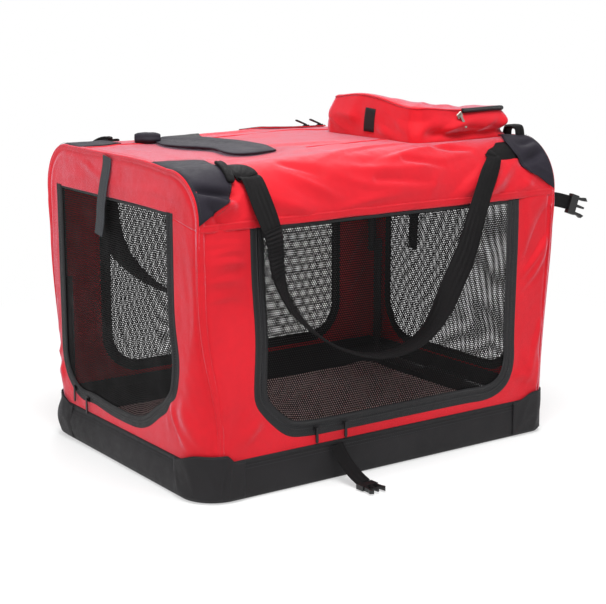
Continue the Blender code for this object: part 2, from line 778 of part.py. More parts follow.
def placed(down, out, origin):
    """A function from local (across the pull, down the pull, out of the face) to the world."""
    down = Vector(down).normalized()
    out = Vector(out).normalized()
    side = down.cross(out)
    start = Vector(origin)
    return lambda u, v, w: start + side * u + down * v + out * w


def zip_slider(name, origin, along, out, hang=(0, 0, -1)):
    """A zip slider with its bridge and a hanging pull, as one casting."""
    slot = "zip_metal"
    out = Vector(out)
    at = placed(Vector(along).cross(out), out, origin)
    r, w, t = SLIDER_LENGTH / 2, SLIDER_WIDTH / 2, SLIDER_THICK
    outline = [(-r, -w), (-r * 0.5, -w), (r, -w * 0.8), (r, w * 0.8), (-r * 0.5, w), (-r, w)]
    body = prism(name, outline, at, GAP, GAP + t * 0.55, slot)
    x, y = r * 0.6, w * 0.35
    bridge = prism("bridge", [(-x, -y), (x, -y), (x, y), (-x, y)], at, t * 0.4, t, slot)
    hang = Vector(hang)
    lean = hang.dot(out)
    at = placed(hang, out - hang * lean, origin)
    half = PULL_WIDTH / 2
    tip = w * 0.3 + PULL_LENGTH
    right = [(half * 0.7, -w * 0.2), (half, tip - half), (half * 0.5, tip)]
    outline = right + [(-u, v) for u, v in reversed(right)]
    pull = prism("pull", outline, at, t - PULL_THICK * 0.5, t + PULL_THICK * 0.5, slot)
    return combine(body, [bridge, pull], "UNION")


def sliders():
    front = -WIDTH / 2 - BINDING_PROUD
    zip_z = FRONT_WINDOW["low"] + FRONT_BINDING * ZIP_SHARE
    for name, x in zip(("front_slider_left", "front_slider_right"), FRONT_SLIDER_X):
        zip_slider(name, (x, front, zip_z), (1, 0, 0), (0, -1, 0))
    end = LENGTH / 2 + BINDING_PROUD
    bend_y = END_WINDOW["centre"] + END_WINDOW["half"] - END_WINDOW["radius"]
    bend_z = END_WINDOW["low"] + END_WINDOW["radius"]
    reach = END_WINDOW["radius"] - END_BINDING * ZIP_SHARE
    for name, turn in (("rear", END_SLIDER_TURN), ("front", 0.0)):
        y = bend_y + reach * math.sin(turn) - (0.004 if turn == 0 else 0)
        z = bend_z - reach * math.cos(turn)
        along = (0, math.cos(turn), math.sin(turn))
        zip_slider("left_slider_" + name, (-end, y, z), along, (-1, 0, 0))
        zip_slider("right_slider_" + name, (end, y, z), along, (1, 0, 0))
    s = ROOF_ZIP_ANGLE * SHOULDER_R
    tilt = Vector((0, math.sin(ROOF_ZIP_ANGLE), math.cos(ROOF_ZIP_ANGLE)))
    lie = Vector((-math.cos(ROOF_PULL_RISE), 0, math.sin(ROOF_PULL_RISE)))
    for name, back in (("roof_slider_left", 0.044), ("roof_slider_right", 0.012)):
        at = over_shoulder(ROOF_ZIP_X[1] - back, s, GAP + SKIN, 1)
        zip_slider(name, at, (1, 0, 0), tilt, lie)
    zip_z = HEIGHT + POUCH_FRONT_H - POUCH_LID - SLIDER_WIDTH
    zip_slider("pouch_slider", (POUCH_SLIDER_X, POUCH_Y[0], zip_z), (1, 0, 0), (0, -1, 0))


def roll_strap(name, end, y, drop):
    """The strap that holds a rolled-up end door, hanging from the roof's edge."""
    wall = LENGTH / 2 + GAP + WEBBING / 2
    top = HEIGHT - 0.004
    sway = [(0, 0), (0.12, 0), (0.35, 0.004), (0.60, 0.007), (0.80, 0.007), (1.0, 0.009)]
    points = [(end * (wall + out), y + 0.02 * d, top - drop * d) for d, out in sway]
    across = [(0, 1, 0)] * len(points)
    return band(name, points, across, ROLL_STRAP_WIDTH, WEBBING, "patch_cloth")


def buckle(name, origin, along, across):
    """The pronged half of a side-release buckle: a block, two side prongs and a guide."""
    along = Vector(along).normalized()
    across = Vector(across)
    across = (across - along * across.dot(along)).normalized()
    out = across.cross(along)
    start = Vector(origin)

    def at(u, v, w):
        return start + along * u + across * v + out * w

    half = TETHER_WIDTH / 2 + 0.0035
    t = BUCKLE_THICK / 2
    block_end = BUCKLE_LENGTH * 0.42
    outline = [(0, -half), (block_end, -half), (block_end, half), (0, half)]
    body = prism(name, outline, at, -t, t, "nylon")
    root = block_end - 0.002
    tip = BUCKLE_LENGTH * 0.92
    guide = [(root, -0.0025), (tip, -0.0015), (tip, 0.0015), (root, 0.0025)]
    pieces = [prism("guide", guide, at, -t * 0.6, t * 0.6, "nylon")]
    for side in (-1, 1):
        prong = [
            (root, side * (half - 0.006)),
            (BUCKLE_LENGTH * 0.80, side * (half - 0.0055)),
            (BUCKLE_LENGTH, side * (half - 0.004)),
            (BUCKLE_LENGTH * 0.86, side * (half + 0.001)),
            (BUCKLE_LENGTH * 0.70, side * (half - 0.001)),
            (root, side * (half - 0.002)),
        ]
        pieces.append(prism("prong", prong, at, -t * 0.75, t * 0.75, "nylon"))
    return combine(body, pieces, "UNION")


def front_tether():
    """A short strap from the base's top edge, lying out over the base to the floor."""
    y = -WIDTH / 2 - BASE_PROUD
    x, z = FRONT_TETHER_ROOT
    shares = [(0.0, 0.024), (0.161, 0.097), (0.452, 0.355), (0.677, 0.677), (0.806, 1.0)]
    fall = [(down * FRONT_TETHER_REACH, out * FRONT_TETHER_REACH) for down, out in shares]
    points = [(x + FRONT_TETHER_SLANT * down, y - out, z - down) for down, out in fall]
    run = Vector(points[-1]) - Vector(points[0])
    across = [Vector((-run.z, 0, run.x)).normalized()] * len(points)
    band("front_tether_strap", points, across, TETHER_WIDTH, WEBBING, "webbing")
    along = (Vector(points[-1]) - Vector(points[-2])).normalized()
    start = Vector(points[-1]) + along * GAP
    level = Vector((along.x, along.y, -0.02)).normalized()
    buckle("front_buckle", start + Vector((0, 0, -0.003)), level, level.cross(Vector((0, 0, 1))))


def right_tether():
    """A short strap that leaves the front right corner on edge and droops a little."""
    x = LENGTH / 2 + GAP
    y = -WIDTH / 2 + RIGHT_TETHER_INSET
    z = HEM_Z - TETHER_WIDTH / 2
    shares = [(0.0, 0.0), (0.16, 0.0), (0.48, 0.08), (1.0, 0.26)]
    points = [(x + out * RIGHT_TETHER, y, z - droop * RIGHT_TETHER) for out, droop in shares]
    across = [(0, 0, 1)] * len(points)
    band("right_tether_strap", points, across, TETHER_WIDTH, WEBBING, "webbing")
    along = (Vector(points[-1]) - Vector(points[-2])).normalized()
    buckle("right_buckle", Vector(points[-1]) + along * GAP, along, (0, 0, 1))


def build():
    base_tub()
    floor_mat()
    base_ring()
    long_wall("front_panel", -1)
    long_wall("rear_panel", 1)
    for name, end in (("left", -1), ("right", 1)):
        end_wall(name + "_panel", end)
        lower_legs(name + "_lower_legs", end * FRAME_X)
        upper_hoop(name + "_upper_hoop", end * FRAME_X)
        bracket(name + "_bracket", end * FRAME_X)
    roof_rail("roof_rail_front", -RAIL_Y)
    roof_rail("roof_rail_rear", RAIL_Y)
    top_panel()
    openings()
    for side_name, side in (("front", -1), ("rear", 1)):
        for end_name, end in (("left", -1), ("right", 1)):
            by_pouch = side < 0 < end
            reach = PATCH_BY_POUCH_REACH if by_pouch else PATCH_TOP_REACH
            corner_patch(f"patch_{side_name}_{end_name}", end, side, reach)
        for end_name, x, low in zip(("left", "right"), ANCHOR_X, ANCHOR_LIFT):
            strap_anchor(f"strap_end_{side_name}_{end_name}", x, low, side)
        carry_strap(side_name + "_carry_strap", side)
    pouch()
    roof_loop()
    top_handle()
    roof_zip()
    sliders()
    roll_strap("left_roll_strap", -1, *LEFT_ROLL_STRAP)
    roll_strap("right_roll_strap", 1, *RIGHT_ROLL_STRAP)
    front_tether()
    right_tether()


for leftover in list(bpy.data.objects):
    bpy.data.objects.remove(leftover)
build()
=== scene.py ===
"""Dressed model of a soft-sided folding pet cage: cloth, nets, zips, webbing, camera and light."""
import json
import math
from functools import partial

import bpy
from mathutils import Matrix, Vector, noise


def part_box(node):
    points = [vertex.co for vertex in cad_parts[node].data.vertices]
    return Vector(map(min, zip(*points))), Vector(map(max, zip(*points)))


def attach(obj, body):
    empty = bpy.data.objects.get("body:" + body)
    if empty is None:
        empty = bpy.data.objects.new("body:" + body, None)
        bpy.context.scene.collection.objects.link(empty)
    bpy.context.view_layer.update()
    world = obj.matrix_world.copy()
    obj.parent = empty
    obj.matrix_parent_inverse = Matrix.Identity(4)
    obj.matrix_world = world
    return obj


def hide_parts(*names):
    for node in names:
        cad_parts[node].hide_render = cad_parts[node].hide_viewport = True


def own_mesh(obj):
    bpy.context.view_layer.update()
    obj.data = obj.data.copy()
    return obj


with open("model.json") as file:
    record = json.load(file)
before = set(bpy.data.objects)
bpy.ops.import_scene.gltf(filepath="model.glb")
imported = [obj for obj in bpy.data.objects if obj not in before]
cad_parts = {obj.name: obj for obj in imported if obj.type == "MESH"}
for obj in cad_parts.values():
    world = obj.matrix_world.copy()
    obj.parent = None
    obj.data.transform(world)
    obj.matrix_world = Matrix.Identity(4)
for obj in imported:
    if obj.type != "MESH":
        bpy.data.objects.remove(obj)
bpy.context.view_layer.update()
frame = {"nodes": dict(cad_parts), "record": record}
NODES = frame["nodes"]

# Sizes shared with the model, in metres
LENGTH, WIDTH, HEIGHT = 0.714, 0.500, 0.512
HALF_X, HALF_Y = LENGTH / 2, WIDTH / 2
SHOULDER_R = 0.085
SHOULDER_Y = HALF_Y - SHOULDER_R
HEM_Z = HEIGHT - SHOULDER_R
TOP_HALF = SHOULDER_Y + SHOULDER_R * math.pi / 2  # from the roof's middle line to a hem
BASE_H = 0.065
WALL_LOW = BASE_H - 0.006
CLOTH_THICK = 0.0014
FRONT_WINDOW = {"centre": 0.006, "half": 0.272, "low": 0.082, "top": 0.4245, "radius": 0.080}
END_WINDOW = {"centre": 0.016, "half": 0.197, "low": 0.080, "top": 0.448, "radius": 0.088}
FRONT_BINDING = 0.024
END_BINDING = 0.018
POUCH_X = (0.115, 0.335)
POUCH_Y = (-0.172, 0.090)
POUCH_MIDDLE = Vector((sum(POUCH_X) / 2, sum(POUCH_Y) / 2))
POUCH_HALF = Vector((POUCH_X[1] - POUCH_X[0], POUCH_Y[1] - POUCH_Y[0])) / 2
POUCH_CORNER = 0.022
POUCH_LEAN = 0.009
SIDES = (("front", -1), ("rear", 1))
ENDS = (("left", -1), ("right", 1))
PLACES = [(f"{side_name}_{end_name}", end, side) for side_name, side in SIDES for end_name, end in ENDS]


# Materials


class Nodes:
    """Short calls to build one material's node tree."""

    def __init__(self, name):
        self.material = bpy.data.materials.new(name)
        self.material.use_nodes = True
        self.tree = self.material.node_tree
        self.shader = self.tree.nodes["Principled BSDF"]

    def add(self, kind, inputs=(), **settings):
        node = self.tree.nodes.new(kind)
        for key, value in settings.items():
            setattr(node, key, value)
        for key, value in dict(inputs).items():
            if isinstance(value, bpy.types.NodeSocket):
                self.tree.links.new(value, node.inputs[key])
            else:
                node.inputs[key].default_value = value
        return node

    def link(self, output, name):
        self.tree.links.new(output, self.shader.inputs[name])

    def fix(self, values):
        for name, value in values.items():
            self.shader.inputs[name].default_value = value

    def place(self, kind="Object"):
        return self.add("ShaderNodeTexCoord").outputs[kind]

    def noise(self, scale, detail=3.0):
        inputs = {"Vector": self.place(), "Scale": scale, "Detail": detail}
        return self.add("ShaderNodeTexNoise", inputs).outputs["Fac"]

    def maths(self, operation, *values):
        return self.add("ShaderNodeMath", enumerate(values), operation=operation).outputs[0]

    def span(self, value, low, high, start=0.3, end=0.7):
        inputs = {"Value": value, "From Min": start, "From Max": end, "To Min": low, "To Max": high}
        return self.add("ShaderNodeMapRange", inputs).outputs["Result"]

    def mix(self, factor, a, b):
        inputs = {"Factor": factor}
        for key, colour in ((6, a), (7, b)):
            inputs[key] = colour if isinstance(colour, bpy.types.NodeSocket) else (*colour, 1)
        return self.add("ShaderNodeMix", inputs, data_type="RGBA").outputs[2]

    def bump(self, height, distance, strength=1.0, normal=None):
        inputs = {"Height": height, "Distance": distance, "Strength": strength}
        if normal is not None:
            inputs["Normal"] = normal
        return self.add("ShaderNodeBump", inputs).outputs["Normal"]


def shade(colour, factor):
    """A colour made darker or lighter."""
    return tuple(min(channel * factor, 1.0) for channel in colour)


def cloth(name, colour, pitch, roughness, sheen=0.0, specular=0.3, wrinkle=0.0006, vary=0.12):
    """Plain-woven cloth: a weave in the cloth's own metres with painted shade where it dips, soft creases and
    worn patches.
    """
    n = Nodes(name)
    turns = {0: n.place("UV"), 1: (math.tau / pitch,) * 3}
    scaled = n.add("ShaderNodeVectorMath", turns, operation="MULTIPLY")
    parts = n.add("ShaderNodeSeparateXYZ", {0: scaled.outputs[0]}).outputs
    weave = n.maths("MULTIPLY", n.maths("SINE", parts[0]), n.maths("SINE", parts[1]))
    height = n.maths("MULTIPLY_ADD", weave, 0.5, n.noise(1400, 2.0))
    fine = n.noise(90.0, 4.0)
    tone = n.maths("MULTIPLY_ADD", fine, 0.35, n.noise(7.0, 4.0))
    tint = n.mix(n.span(tone, 0, 1, 0.45, 0.90), shade(colour, 1 - vary), shade(colour, 1 + vary))
    # Painted shade: the colour darkens to 0.72 of itself where the weave dips.
    n.link(n.mix(n.span(weave, 0.0, 1.0, -1.0, 0.2), shade(colour, 0.72), tint), "Base Color")
    n.link(n.span(fine, roughness - 0.06, roughness + 0.06), "Roughness")
    soft = n.bump(n.noise(38.0, 5.0), wrinkle)
    n.link(n.bump(height, pitch * 0.22, 0.5, soft), "Normal")
    n.fix({"Specular IOR Level": specular, "Sheen Weight": sheen, "Sheen Roughness": 0.32})
    n.fix({"Sheen Tint": (0.84, 0.80, 1.0, 1)})
    return n.material


def ribbed(name, colour, pitch, roughness, specular=0.4):
    """Webbing and tape: slanted ribs along the band with painted shade in their grooves, and dusty edges."""
    n = Nodes(name)
    parts = n.add("ShaderNodeSeparateXYZ", {0: n.place("UV")}).outputs
    slant = n.maths("MULTIPLY_ADD", n.maths("PINGPONG", parts[1], pitch * 3), 0.8, parts[0])
    ribs = n.maths("SINE", n.maths("MULTIPLY", slant, math.tau / pitch))
    rows = n.maths("SINE", n.maths("MULTIPLY", parts[1], math.tau / (pitch * 1.5)))
    height = n.maths("MULTIPLY_ADD", rows, 0.6, ribs)
    dust = n.noise(60.0, 5.0)
    worn = n.mix(n.span(dust, 0, 1), shade(colour, 0.8), shade(colour, 1.5))
    # Painted shade: the colour darkens towards 0.45 of itself in the grooves between the ribs.
    n.link(n.mix(n.span(height, 0, 1, -1.2, 0.6), shade(colour, 0.45), worn), "Base Color")
    n.link(n.span(dust, roughness - 0.08, roughness + 0.08), "Roughness")
    n.link(n.bump(height, pitch * 0.2, 0.7), "Normal")
    n.fix({"Specular IOR Level": specular})
    return n.material


def moulded(name, colour, roughness, metallic=0.0, grain=900, depth=0.00008, coat=0.0, specular=0.5):
    """Plastic, paint or metal with a fine grain, faint scuffs and finger marks."""
    n = Nodes(name)
    scuff = n.noise(35.0, 6.0)
    n.link(n.mix(n.span(scuff, 0, 1), shade(colour, 0.85), shade(colour, 1.25)), "Base Color")
    n.link(n.span(scuff, roughness - 0.07, roughness + 0.10), "Roughness")
    n.link(n.bump(n.noise(grain, 3.0), depth), "Normal")
    n.fix({"Metallic": metallic, "Coat Weight": coat, "Specular IOR Level": specular})
    return n.material


def fleece(name, colour):
    """Short curly pile, with painted light and shade: lighter where the pile stands high, darker down in it.
    """
    n = Nodes(name)
    pile = n.noise(260.0, 4.0)
    lumps = n.noise(45.0, 3.0)
    # Painted light and shade: the colour follows the pile's bump height, lighter where it stands high and
    # darker down in it.
    pile_light_and_shade = n.mix(n.span(pile, 0, 1), shade(colour, 0.62), shade(colour, 1.12))
    n.link(n.mix(n.span(lumps, 0.0, 0.35), pile_light_and_shade, shade(colour, 0.8)), "Base Color")
    n.link(n.span(pile, 0.85, 1.0), "Roughness")
    n.link(n.bump(pile, 0.0016, 0.9, n.bump(lumps, 0.004, 0.6)), "Normal")
    n.fix({"Sheen Weight": 0.4, "Specular IOR Level": 0.1})
    return n.material


RED = cloth("red_oxford", (0.69, 0.0135, 0.0240), 0.0007, 0.55, sheen=0.95, specular=0.12, wrinkle=0.0010)
BLACK = cloth("black_oxford", (0.0165, 0.0155, 0.0170), 0.0008, 0.58, sheen=0.03, specular=0.22, vary=0.3)
GREY = cloth("grey_oxford", (0.0215, 0.0185, 0.0270), 0.0008, 0.58, sheen=0.02, specular=0.15, vary=0.25)
WEB = ribbed("black_webbing", (0.0062, 0.0054, 0.0060), 0.0014, 0.62, 0.18)
TAPE = ribbed("black_tape", (0.0095, 0.0090, 0.0110), 0.0009, 0.48, 0.40)
GREY_WEB = ribbed("grey_webbing", (0.040, 0.044, 0.052), 0.0014, 0.55)
COIL = moulded("zip_coil", (0.012, 0.012, 0.014), 0.35)
NET = moulded("net_thread", (0.0045, 0.0042, 0.0046), 0.62, specular=0.12)
FLEECE = fleece("fleece", (0.72, 0.54, 0.52))
PAINT = moulded("tube_paint", (0.014, 0.014, 0.016), 0.36, coat=0.3)
NYLON = moulded("buckle_nylon", (0.0075, 0.0075, 0.008), 0.42)
METAL = moulded("zip_metal", (0.035, 0.034, 0.036), 0.36, 1.0, 300, 0.00005)
BRASS = moulded("bright_metal", (0.42, 0.38, 0.34), 0.30, 1.0, 300, 0.00005)
THREAD = moulded("red_thread", (0.60, 0.03, 0.04), 0.7, 0.0, 2500, 0.00005)
BLACK_THREAD = moulded("black_thread", (0.03, 0.03, 0.034), 0.7, 0.0, 2500, 0.00005)


# Lines of points


def smoothstep(low, high, x):
    """0 up to low, 1 from high on, and a smooth rise between them."""
    t = min(max((x - low) / (high - low), 0.0), 1.0)
    return t * t * (3 - 2 * t)


def sign(value):
    return -1 if value < 0 else 1


def squared(value, power):
    """A sine or cosine bent to make its curve squarer or rounder."""
    return math.copysign(abs(value) ** power, value)


def lengths(points):
    """The way along a line of points, at each of them."""
    run = [0.0]
    for a, b in zip(points, points[1:]):
        run.append(run[-1] + (b - a).length)
    return run


def resample(points, count):
    """count + 1 points evenly spaced along a line of points."""
    run = lengths(points)
    made = []
    k = 0
    for i in range(count + 1):
        far = run[-1] * i / count
        while k < len(run) - 2 and run[k + 1] < far:
            k += 1
        share = (far - run[k]) / max(run[k + 1] - run[k], 1e-9)
        made.append(points[k].lerp(points[k + 1], min(max(share, 0), 1)))
    return made


def joined(*runs):
    """Runs of points that share their ends, as one line."""
    points = list(runs[0])
    for run in runs[1:]:
        points += run[1:]
    return points


def matched(runs, counts):
    """One line through runs, each cut into its count of equal steps."""
    return joined(*[resample(run, n) for run, n in zip(runs, counts)])


def arc(centre, radius, start, end, steps):
    """Points on an arc between two angles in degrees."""
    angles = [math.radians(start + (end - start) * i / steps) for i in range(steps + 1)]
    return [Vector((centre[0] + radius * math.cos(a), centre[1] + radius * math.sin(a))) for a in angles]


def cornered(a, corner, b):
    """A run round a square corner, with the corner on a point."""
    return joined(resample([a, corner], 12), resample([corner, b], 12))


def smooth_curve(points, steps):
    """A Catmull-Rom curve through points of any dimension."""
    path = [Vector(p) for p in points]
    ends = [2 * path[0] - path[1]] + path + [2 * path[-1] - path[-2]]
    curve = []
    for i in range(1, len(ends) - 2):
        a, b, c, d = ends[i - 1 : i + 3]
        for k in range(steps):
            t = k / steps
            square = (2 * a - 5 * b + 4 * c - d) * t**2
            cube = (3 * b - a - 3 * c + d) * t**3
            curve.append(0.5 * (2 * b + (c - a) * t + square + cube))
    curve.append(path[-1])
    return curve


def lattice(down, across, place, closed=False):
    """Rows of points, each placed by its shares of the way down and across."""
    count = across if closed else across + 1
    return [[place(j / down, i / across) for i in range(count)] for j in range(down + 1)]


def heading(points, i):
    """The direction of a line of points at one of them."""
    return (points[min(i + 1, len(points) - 1)] - points[max(i - 1, 0)]).normalized()


def upright_to(along, vector):
    """The part of a vector at right angles to a direction, at length 1."""
    return (vector - along * vector.dot(along)).normalized()


def frames(path, face):
    """At each point: where it is, the direction along, across and out of the face."""
    made = []
    for i, point in enumerate(path):
        along = heading(path, i)
        out = upright_to(along, face(point) if callable(face) else Vector(face))
        made.append((point, along, out.cross(along), out))
    return made


# Meshes

STITCH_LENGTH = 0.0028
STITCH_GAP = 0.0016
STITCH_RADIUS = 0.00035
COIL_PITCH = 0.0021


def mesh_object(name, verts, faces, material, uvs=None, smooth=True):
    """A mesh in the scene, with a place on its cloth for each point where uvs are given."""
    mesh = bpy.data.meshes.new(name)
    mesh.from_pydata([tuple(v) for v in verts], [], faces)
    mesh.materials.append(material)
    if uvs:
        layer = mesh.uv_layers.new(name="cloth")
        for loop in mesh.loops:
            layer.data[loop.index].uv = uvs[loop.vertex_index]
    if smooth:
        mesh.shade_smooth()
    made = bpy.data.objects.new(name, mesh)
    bpy.context.scene.collection.objects.link(made)
    return made


def quads(rows, count, closed=False):
    """Faces between rows of count points each."""
    faces = []
    for k in range(rows - 1):
        for i in range(count if closed else count - 1):
            n = (i + 1) % count
            faces.append((k * count + i, k * count + n, (k + 1) * count + n, (k + 1) * count + i))
    return faces


def row_mesh(name, rows, faces, material, spine):
    """A mesh through rows of points, with the metres along the rows and down the spine as UVs."""
    down = lengths([row[spine] for row in rows])
    along = lengths(rows[len(rows) // 2])
    uvs = [(a, d) for d in down for a in along]
    return mesh_object(name, [p for row in rows for p in row], faces, material, uvs)


def grid(name, rows, material, thick, offset=-1.0, closed=False):
    """Cloth through rows of points."""
    count = len(rows[0])
    made = row_mesh(name, rows, quads(len(rows), count, closed), material, count // 2)
    shell = made.modifiers.new("cloth", "SOLIDIFY")
    shell.thickness = thick
    shell.offset = offset
    shell.use_even_offset = False
    return made


def closed_grid(name, rows, material):
    """Rows of points that close on themselves, with a face over each end."""
    count = len(rows[0])
    total = count * len(rows)
    faces = quads(len(rows), count, True)
    faces += [tuple(reversed(range(count))), tuple(range(total - count, total))]
    return row_mesh(name, rows, faces, material, 0)


def flat_profile(width, thick, low=0.0, dome=0.0):
    """A flat band with rounded edges, as (across, out) points."""
    half, r = width / 2, min(thick * 0.45, width / 4)
    top = low + thick
    foot = [(-half, low + r), (-half + r, low), (half - r, low), (half, low + r), (half, top - r)]
    crown = [(t * (half - r), top + dome * (1 - t * t)) for t in (1.0, 0.6, 0.0, -0.6, -1.0)]
    return foot + crown + [(-half, top - r)]


def round_profile(radius, sides=10):
    """A round cord, as (across, out) points."""
    angles = [math.tau * k / sides for k in range(sides)]
    return [(radius * math.cos(a), radius * math.sin(a)) for a in angles]


def swept(name, stations, profile, material):
    """A closed profile of (across, out) points carried through stations of (point, across, out)."""
    run = lengths([station[0] for station in stations])
    around = lengths([Vector((*p, 0)) for p in profile])
    size = len(profile)
    verts, uvs, faces = [], [], []
    for (point, across, out), far in zip(stations, run):
        for (a, h), r in zip(profile, around):
            verts.append(point + across * a + out * h)
            uvs.append((far, r))
    for a in range(0, len(verts) - size, size):
        for k in range(size):
            n = (k + 1) % size
            faces.append((a + k, a + size + k, a + size + n, a + n))
    faces += [tuple(range(size)), tuple(reversed(range(len(verts) - size, len(verts))))]
    return mesh_object(name, verts, faces, material, uvs)


def sweep(name, path, face, profile, material):
    """A profile carried along a path that lies on a face."""
    stations = [(point, across, out) for point, _, across, out in frames(path, face)]
    return swept(name, stations, profile, material)


def webbing(name, points, across, width, thick, material, narrow=None):
    """Flat webbing with rounded edges along points, turning with the direction across it."""
    stations = []
    for i, point in enumerate(points):
        along = heading(points, i)
        side = upright_to(along, Vector(across[i]))
        stations.append((point, side * (narrow[i] if narrow else 1.0), along.cross(side)))
    return swept(name, stations, flat_profile(width, thick, -thick / 2), material)


def stitches(name, paths, material):
    """Rows of sewn stitches. Each path is (points, face)."""
    verts, faces = [], []
    for points, face in paths:
        run = lengths(points)[-1]
        count = max(int(run / (STITCH_LENGTH + STITCH_GAP)), 1)
        line = resample(points, count * 2)
        for point, along, across, out in frames(line, face)[::2]:
            first = len(verts)
            for end in (-0.5, -0.3, 0.3, 0.5):
                rise = STITCH_RADIUS * (1.6 if abs(end) < 0.4 else 0.16)
                centre = point + along * STITCH_LENGTH * end
                side = across * STITCH_RADIUS
                verts += [centre - side, centre + out * rise, centre + side]
            for k in range(3):
                a = first + 3 * k
                faces += [(a, a + 3, a + 4, a + 1), (a + 1, a + 4, a + 5, a + 2)]
    return mesh_object(name, verts, faces, material)


def teeth(name, path, face):
    """A coil zip: a low core with its turns across it."""
    verts, faces = [], []
    line = resample(path, int(lengths(path)[-1] / COIL_PITCH))
    for i, (point, along, across, out) in enumerate(frames(line, face)):
        lean = 0.00035 if i % 2 else -0.00035
        first = len(verts)
        for a, h in ((-0.0021, 0.0), (-0.0019, 0.0011), (0.0, 0.0017), (0.0019, 0.0011), (0.0021, 0.0)):
            for w in (-0.00062, 0.00062):
                verts.append(point + across * a + out * h + along * (w + lean * a / 0.002))
        for k in range(4):
            a = first + 2 * k
            faces.append((a, a + 1, a + 3, a + 2))
        faces += [tuple(first + k for k in (0, 2, 4, 6, 8)), tuple(first + k for k in (9, 7, 5, 3, 1))]
    return mesh_object(name, verts, faces, COIL)


# How each piece moves

# Where cloth is pressed towards as the frame folds, and the share of its height that it keeps
ROOF_FOLD = (HEIGHT, 0.84)
LONG_WALL_FOLD = (BASE_H, 0.01)
END_WALL_FOLD = (BASE_H, 0.162)
STRAP_FOLD = (0.500, 0.4)


def settle(piece, slot, body, fold, *nodes):
    """Give a piece its body and hide the model's nodes that it stands for; a piece with a fold only gets its
    own copy of its mesh. The slot is not used.
    """
    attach(piece, body)
    if nodes:
        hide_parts(*nodes)
    if fold:
        anchor, keep = fold
        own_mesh(piece)


def on_roof(piece, slot, *nodes):
    """Cloth of the roof, which rides the roof body."""
    settle(piece, slot, "roof", ROOF_FOLD, *nodes)


def on_end_wall(piece, slot, *nodes):
    """Cloth of the ends, between the base and the roof, which rides the base."""
    settle(piece, slot, "base", END_WALL_FOLD, *nodes)


def whole(piece, slot, body, *nodes):
    """A piece that keeps its shape."""
    settle(piece, slot, body, None, *nodes)


# The shape of the cloth

SQUARING = 0.075  # how far the tubes push the shoulders out of round
CROWN = 0.0115  # the roof's rise along its middle

# Each upright corner's bend at its foot: radius, and the angle in degrees where its seam stands
CORNERS = {(-1, -1): (0.056, 22), (1, -1): (0.024, 45), (-1, 1): (0.040, 45), (1, 1): (0.030, 45)}

# Where folds lie on each face: centre, reach, direction in degrees, width, height, stretch
FRONT_FOLDS = [
    ((-0.310, 0.365), (0.030, 0.040), 2, 0.030, 0.0110, 6),
    ((-0.305, 0.112), (0.060, 0.032), 48, 0.036, 0.0110, 7),
    ((0.322, 0.360), (0.032, 0.075), 46, 0.030, 0.0120, 7),
    ((0.324, 0.215), (0.030, 0.090), 60, 0.036, 0.0060, 6),
    ((0.318, 0.112), (0.050, 0.034), -44, 0.032, 0.0090, 5),
    ((0.000, 0.074), (0.300, 0.008), 3, 0.020, 0.0020, 5),
]
END_FOLDS = [
    ((-0.205, 0.116), (0.040, 0.040), 62, 0.036, 0.0110, 7),
    ((0.228, 0.124), (0.034, 0.060), -52, 0.034, 0.0080, 5),
    ((-0.224, 0.330), (0.022, 0.120), 80, 0.050, 0.0022, 6),
    ((0.000, 0.484), (0.190, 0.020), 7, 0.044, 0.0050, 6),
    ((0.232, 0.300), (0.020, 0.140), 84, 0.036, 0.0040, 5),
    ((0.010, 0.072), (0.200, 0.008), 3, 0.020, 0.0018, 5),
]
TOP_FOLDS = [
    ((0.070, -0.190), (0.130, 0.050), 12, 0.055, 0.0085, 6),
    ((-0.070, -0.090), (0.160, 0.080), -16, 0.075, 0.0060, 5),
    ((0.205, -0.285), (0.085, 0.036), 34, 0.034, 0.0120, 6),
    ((-0.170, -0.278), (0.060, 0.045), -30, 0.038, 0.0100, 6),
    ((0.030, -0.292), (0.160, 0.024), 4, 0.034, 0.0070, 7),
    ((-0.302, -0.285), (0.030, 0.030), 28, 0.024, 0.0090, 5),
    ((0.322, -0.285), (0.026, 0.030), -34, 0.024, 0.0090, 5),
    ((-0.020, -0.235), (0.120, 0.030), -8, 0.040, 0.0060, 7),
    ((0.060, 0.150), (0.220, 0.070), 12, 0.060, 0.0060, 6),
    ((-0.310, 0.020), (0.030, 0.150), 82, 0.050, 0.0050, 5),
    ((-0.160, 0.285), (0.130, 0.040), 12, 0.044, 0.0095, 6),
    ((0.180, 0.285), (0.130, 0.040), -14, 0.044, 0.0095, 6),
]

# Where a window's edge is pulled out of shape: centre, reach, shift
FRONT_PULLS = [
    ((-0.243, 0.105), (0.058, 0.048), (0.011, 0.011)),
    ((-0.262, 0.245), (0.030, 0.080), (0.007, 0.0)),
    ((0.255, 0.105), (0.048, 0.044), (0.009, -0.006)),
]
LEFT_PULLS = [
    ((-0.132, 0.097), (0.050, 0.045), (0.003, 0.029)),
    ((-0.185, 0.215), (0.040, 0.050), (-0.013, 0.0)),
    ((-0.185, 0.125), (0.030, 0.030), (0.014, 0.010)),
    ((0.100, 0.082), (0.045, 0.020), (0.0, 0.006)),
]

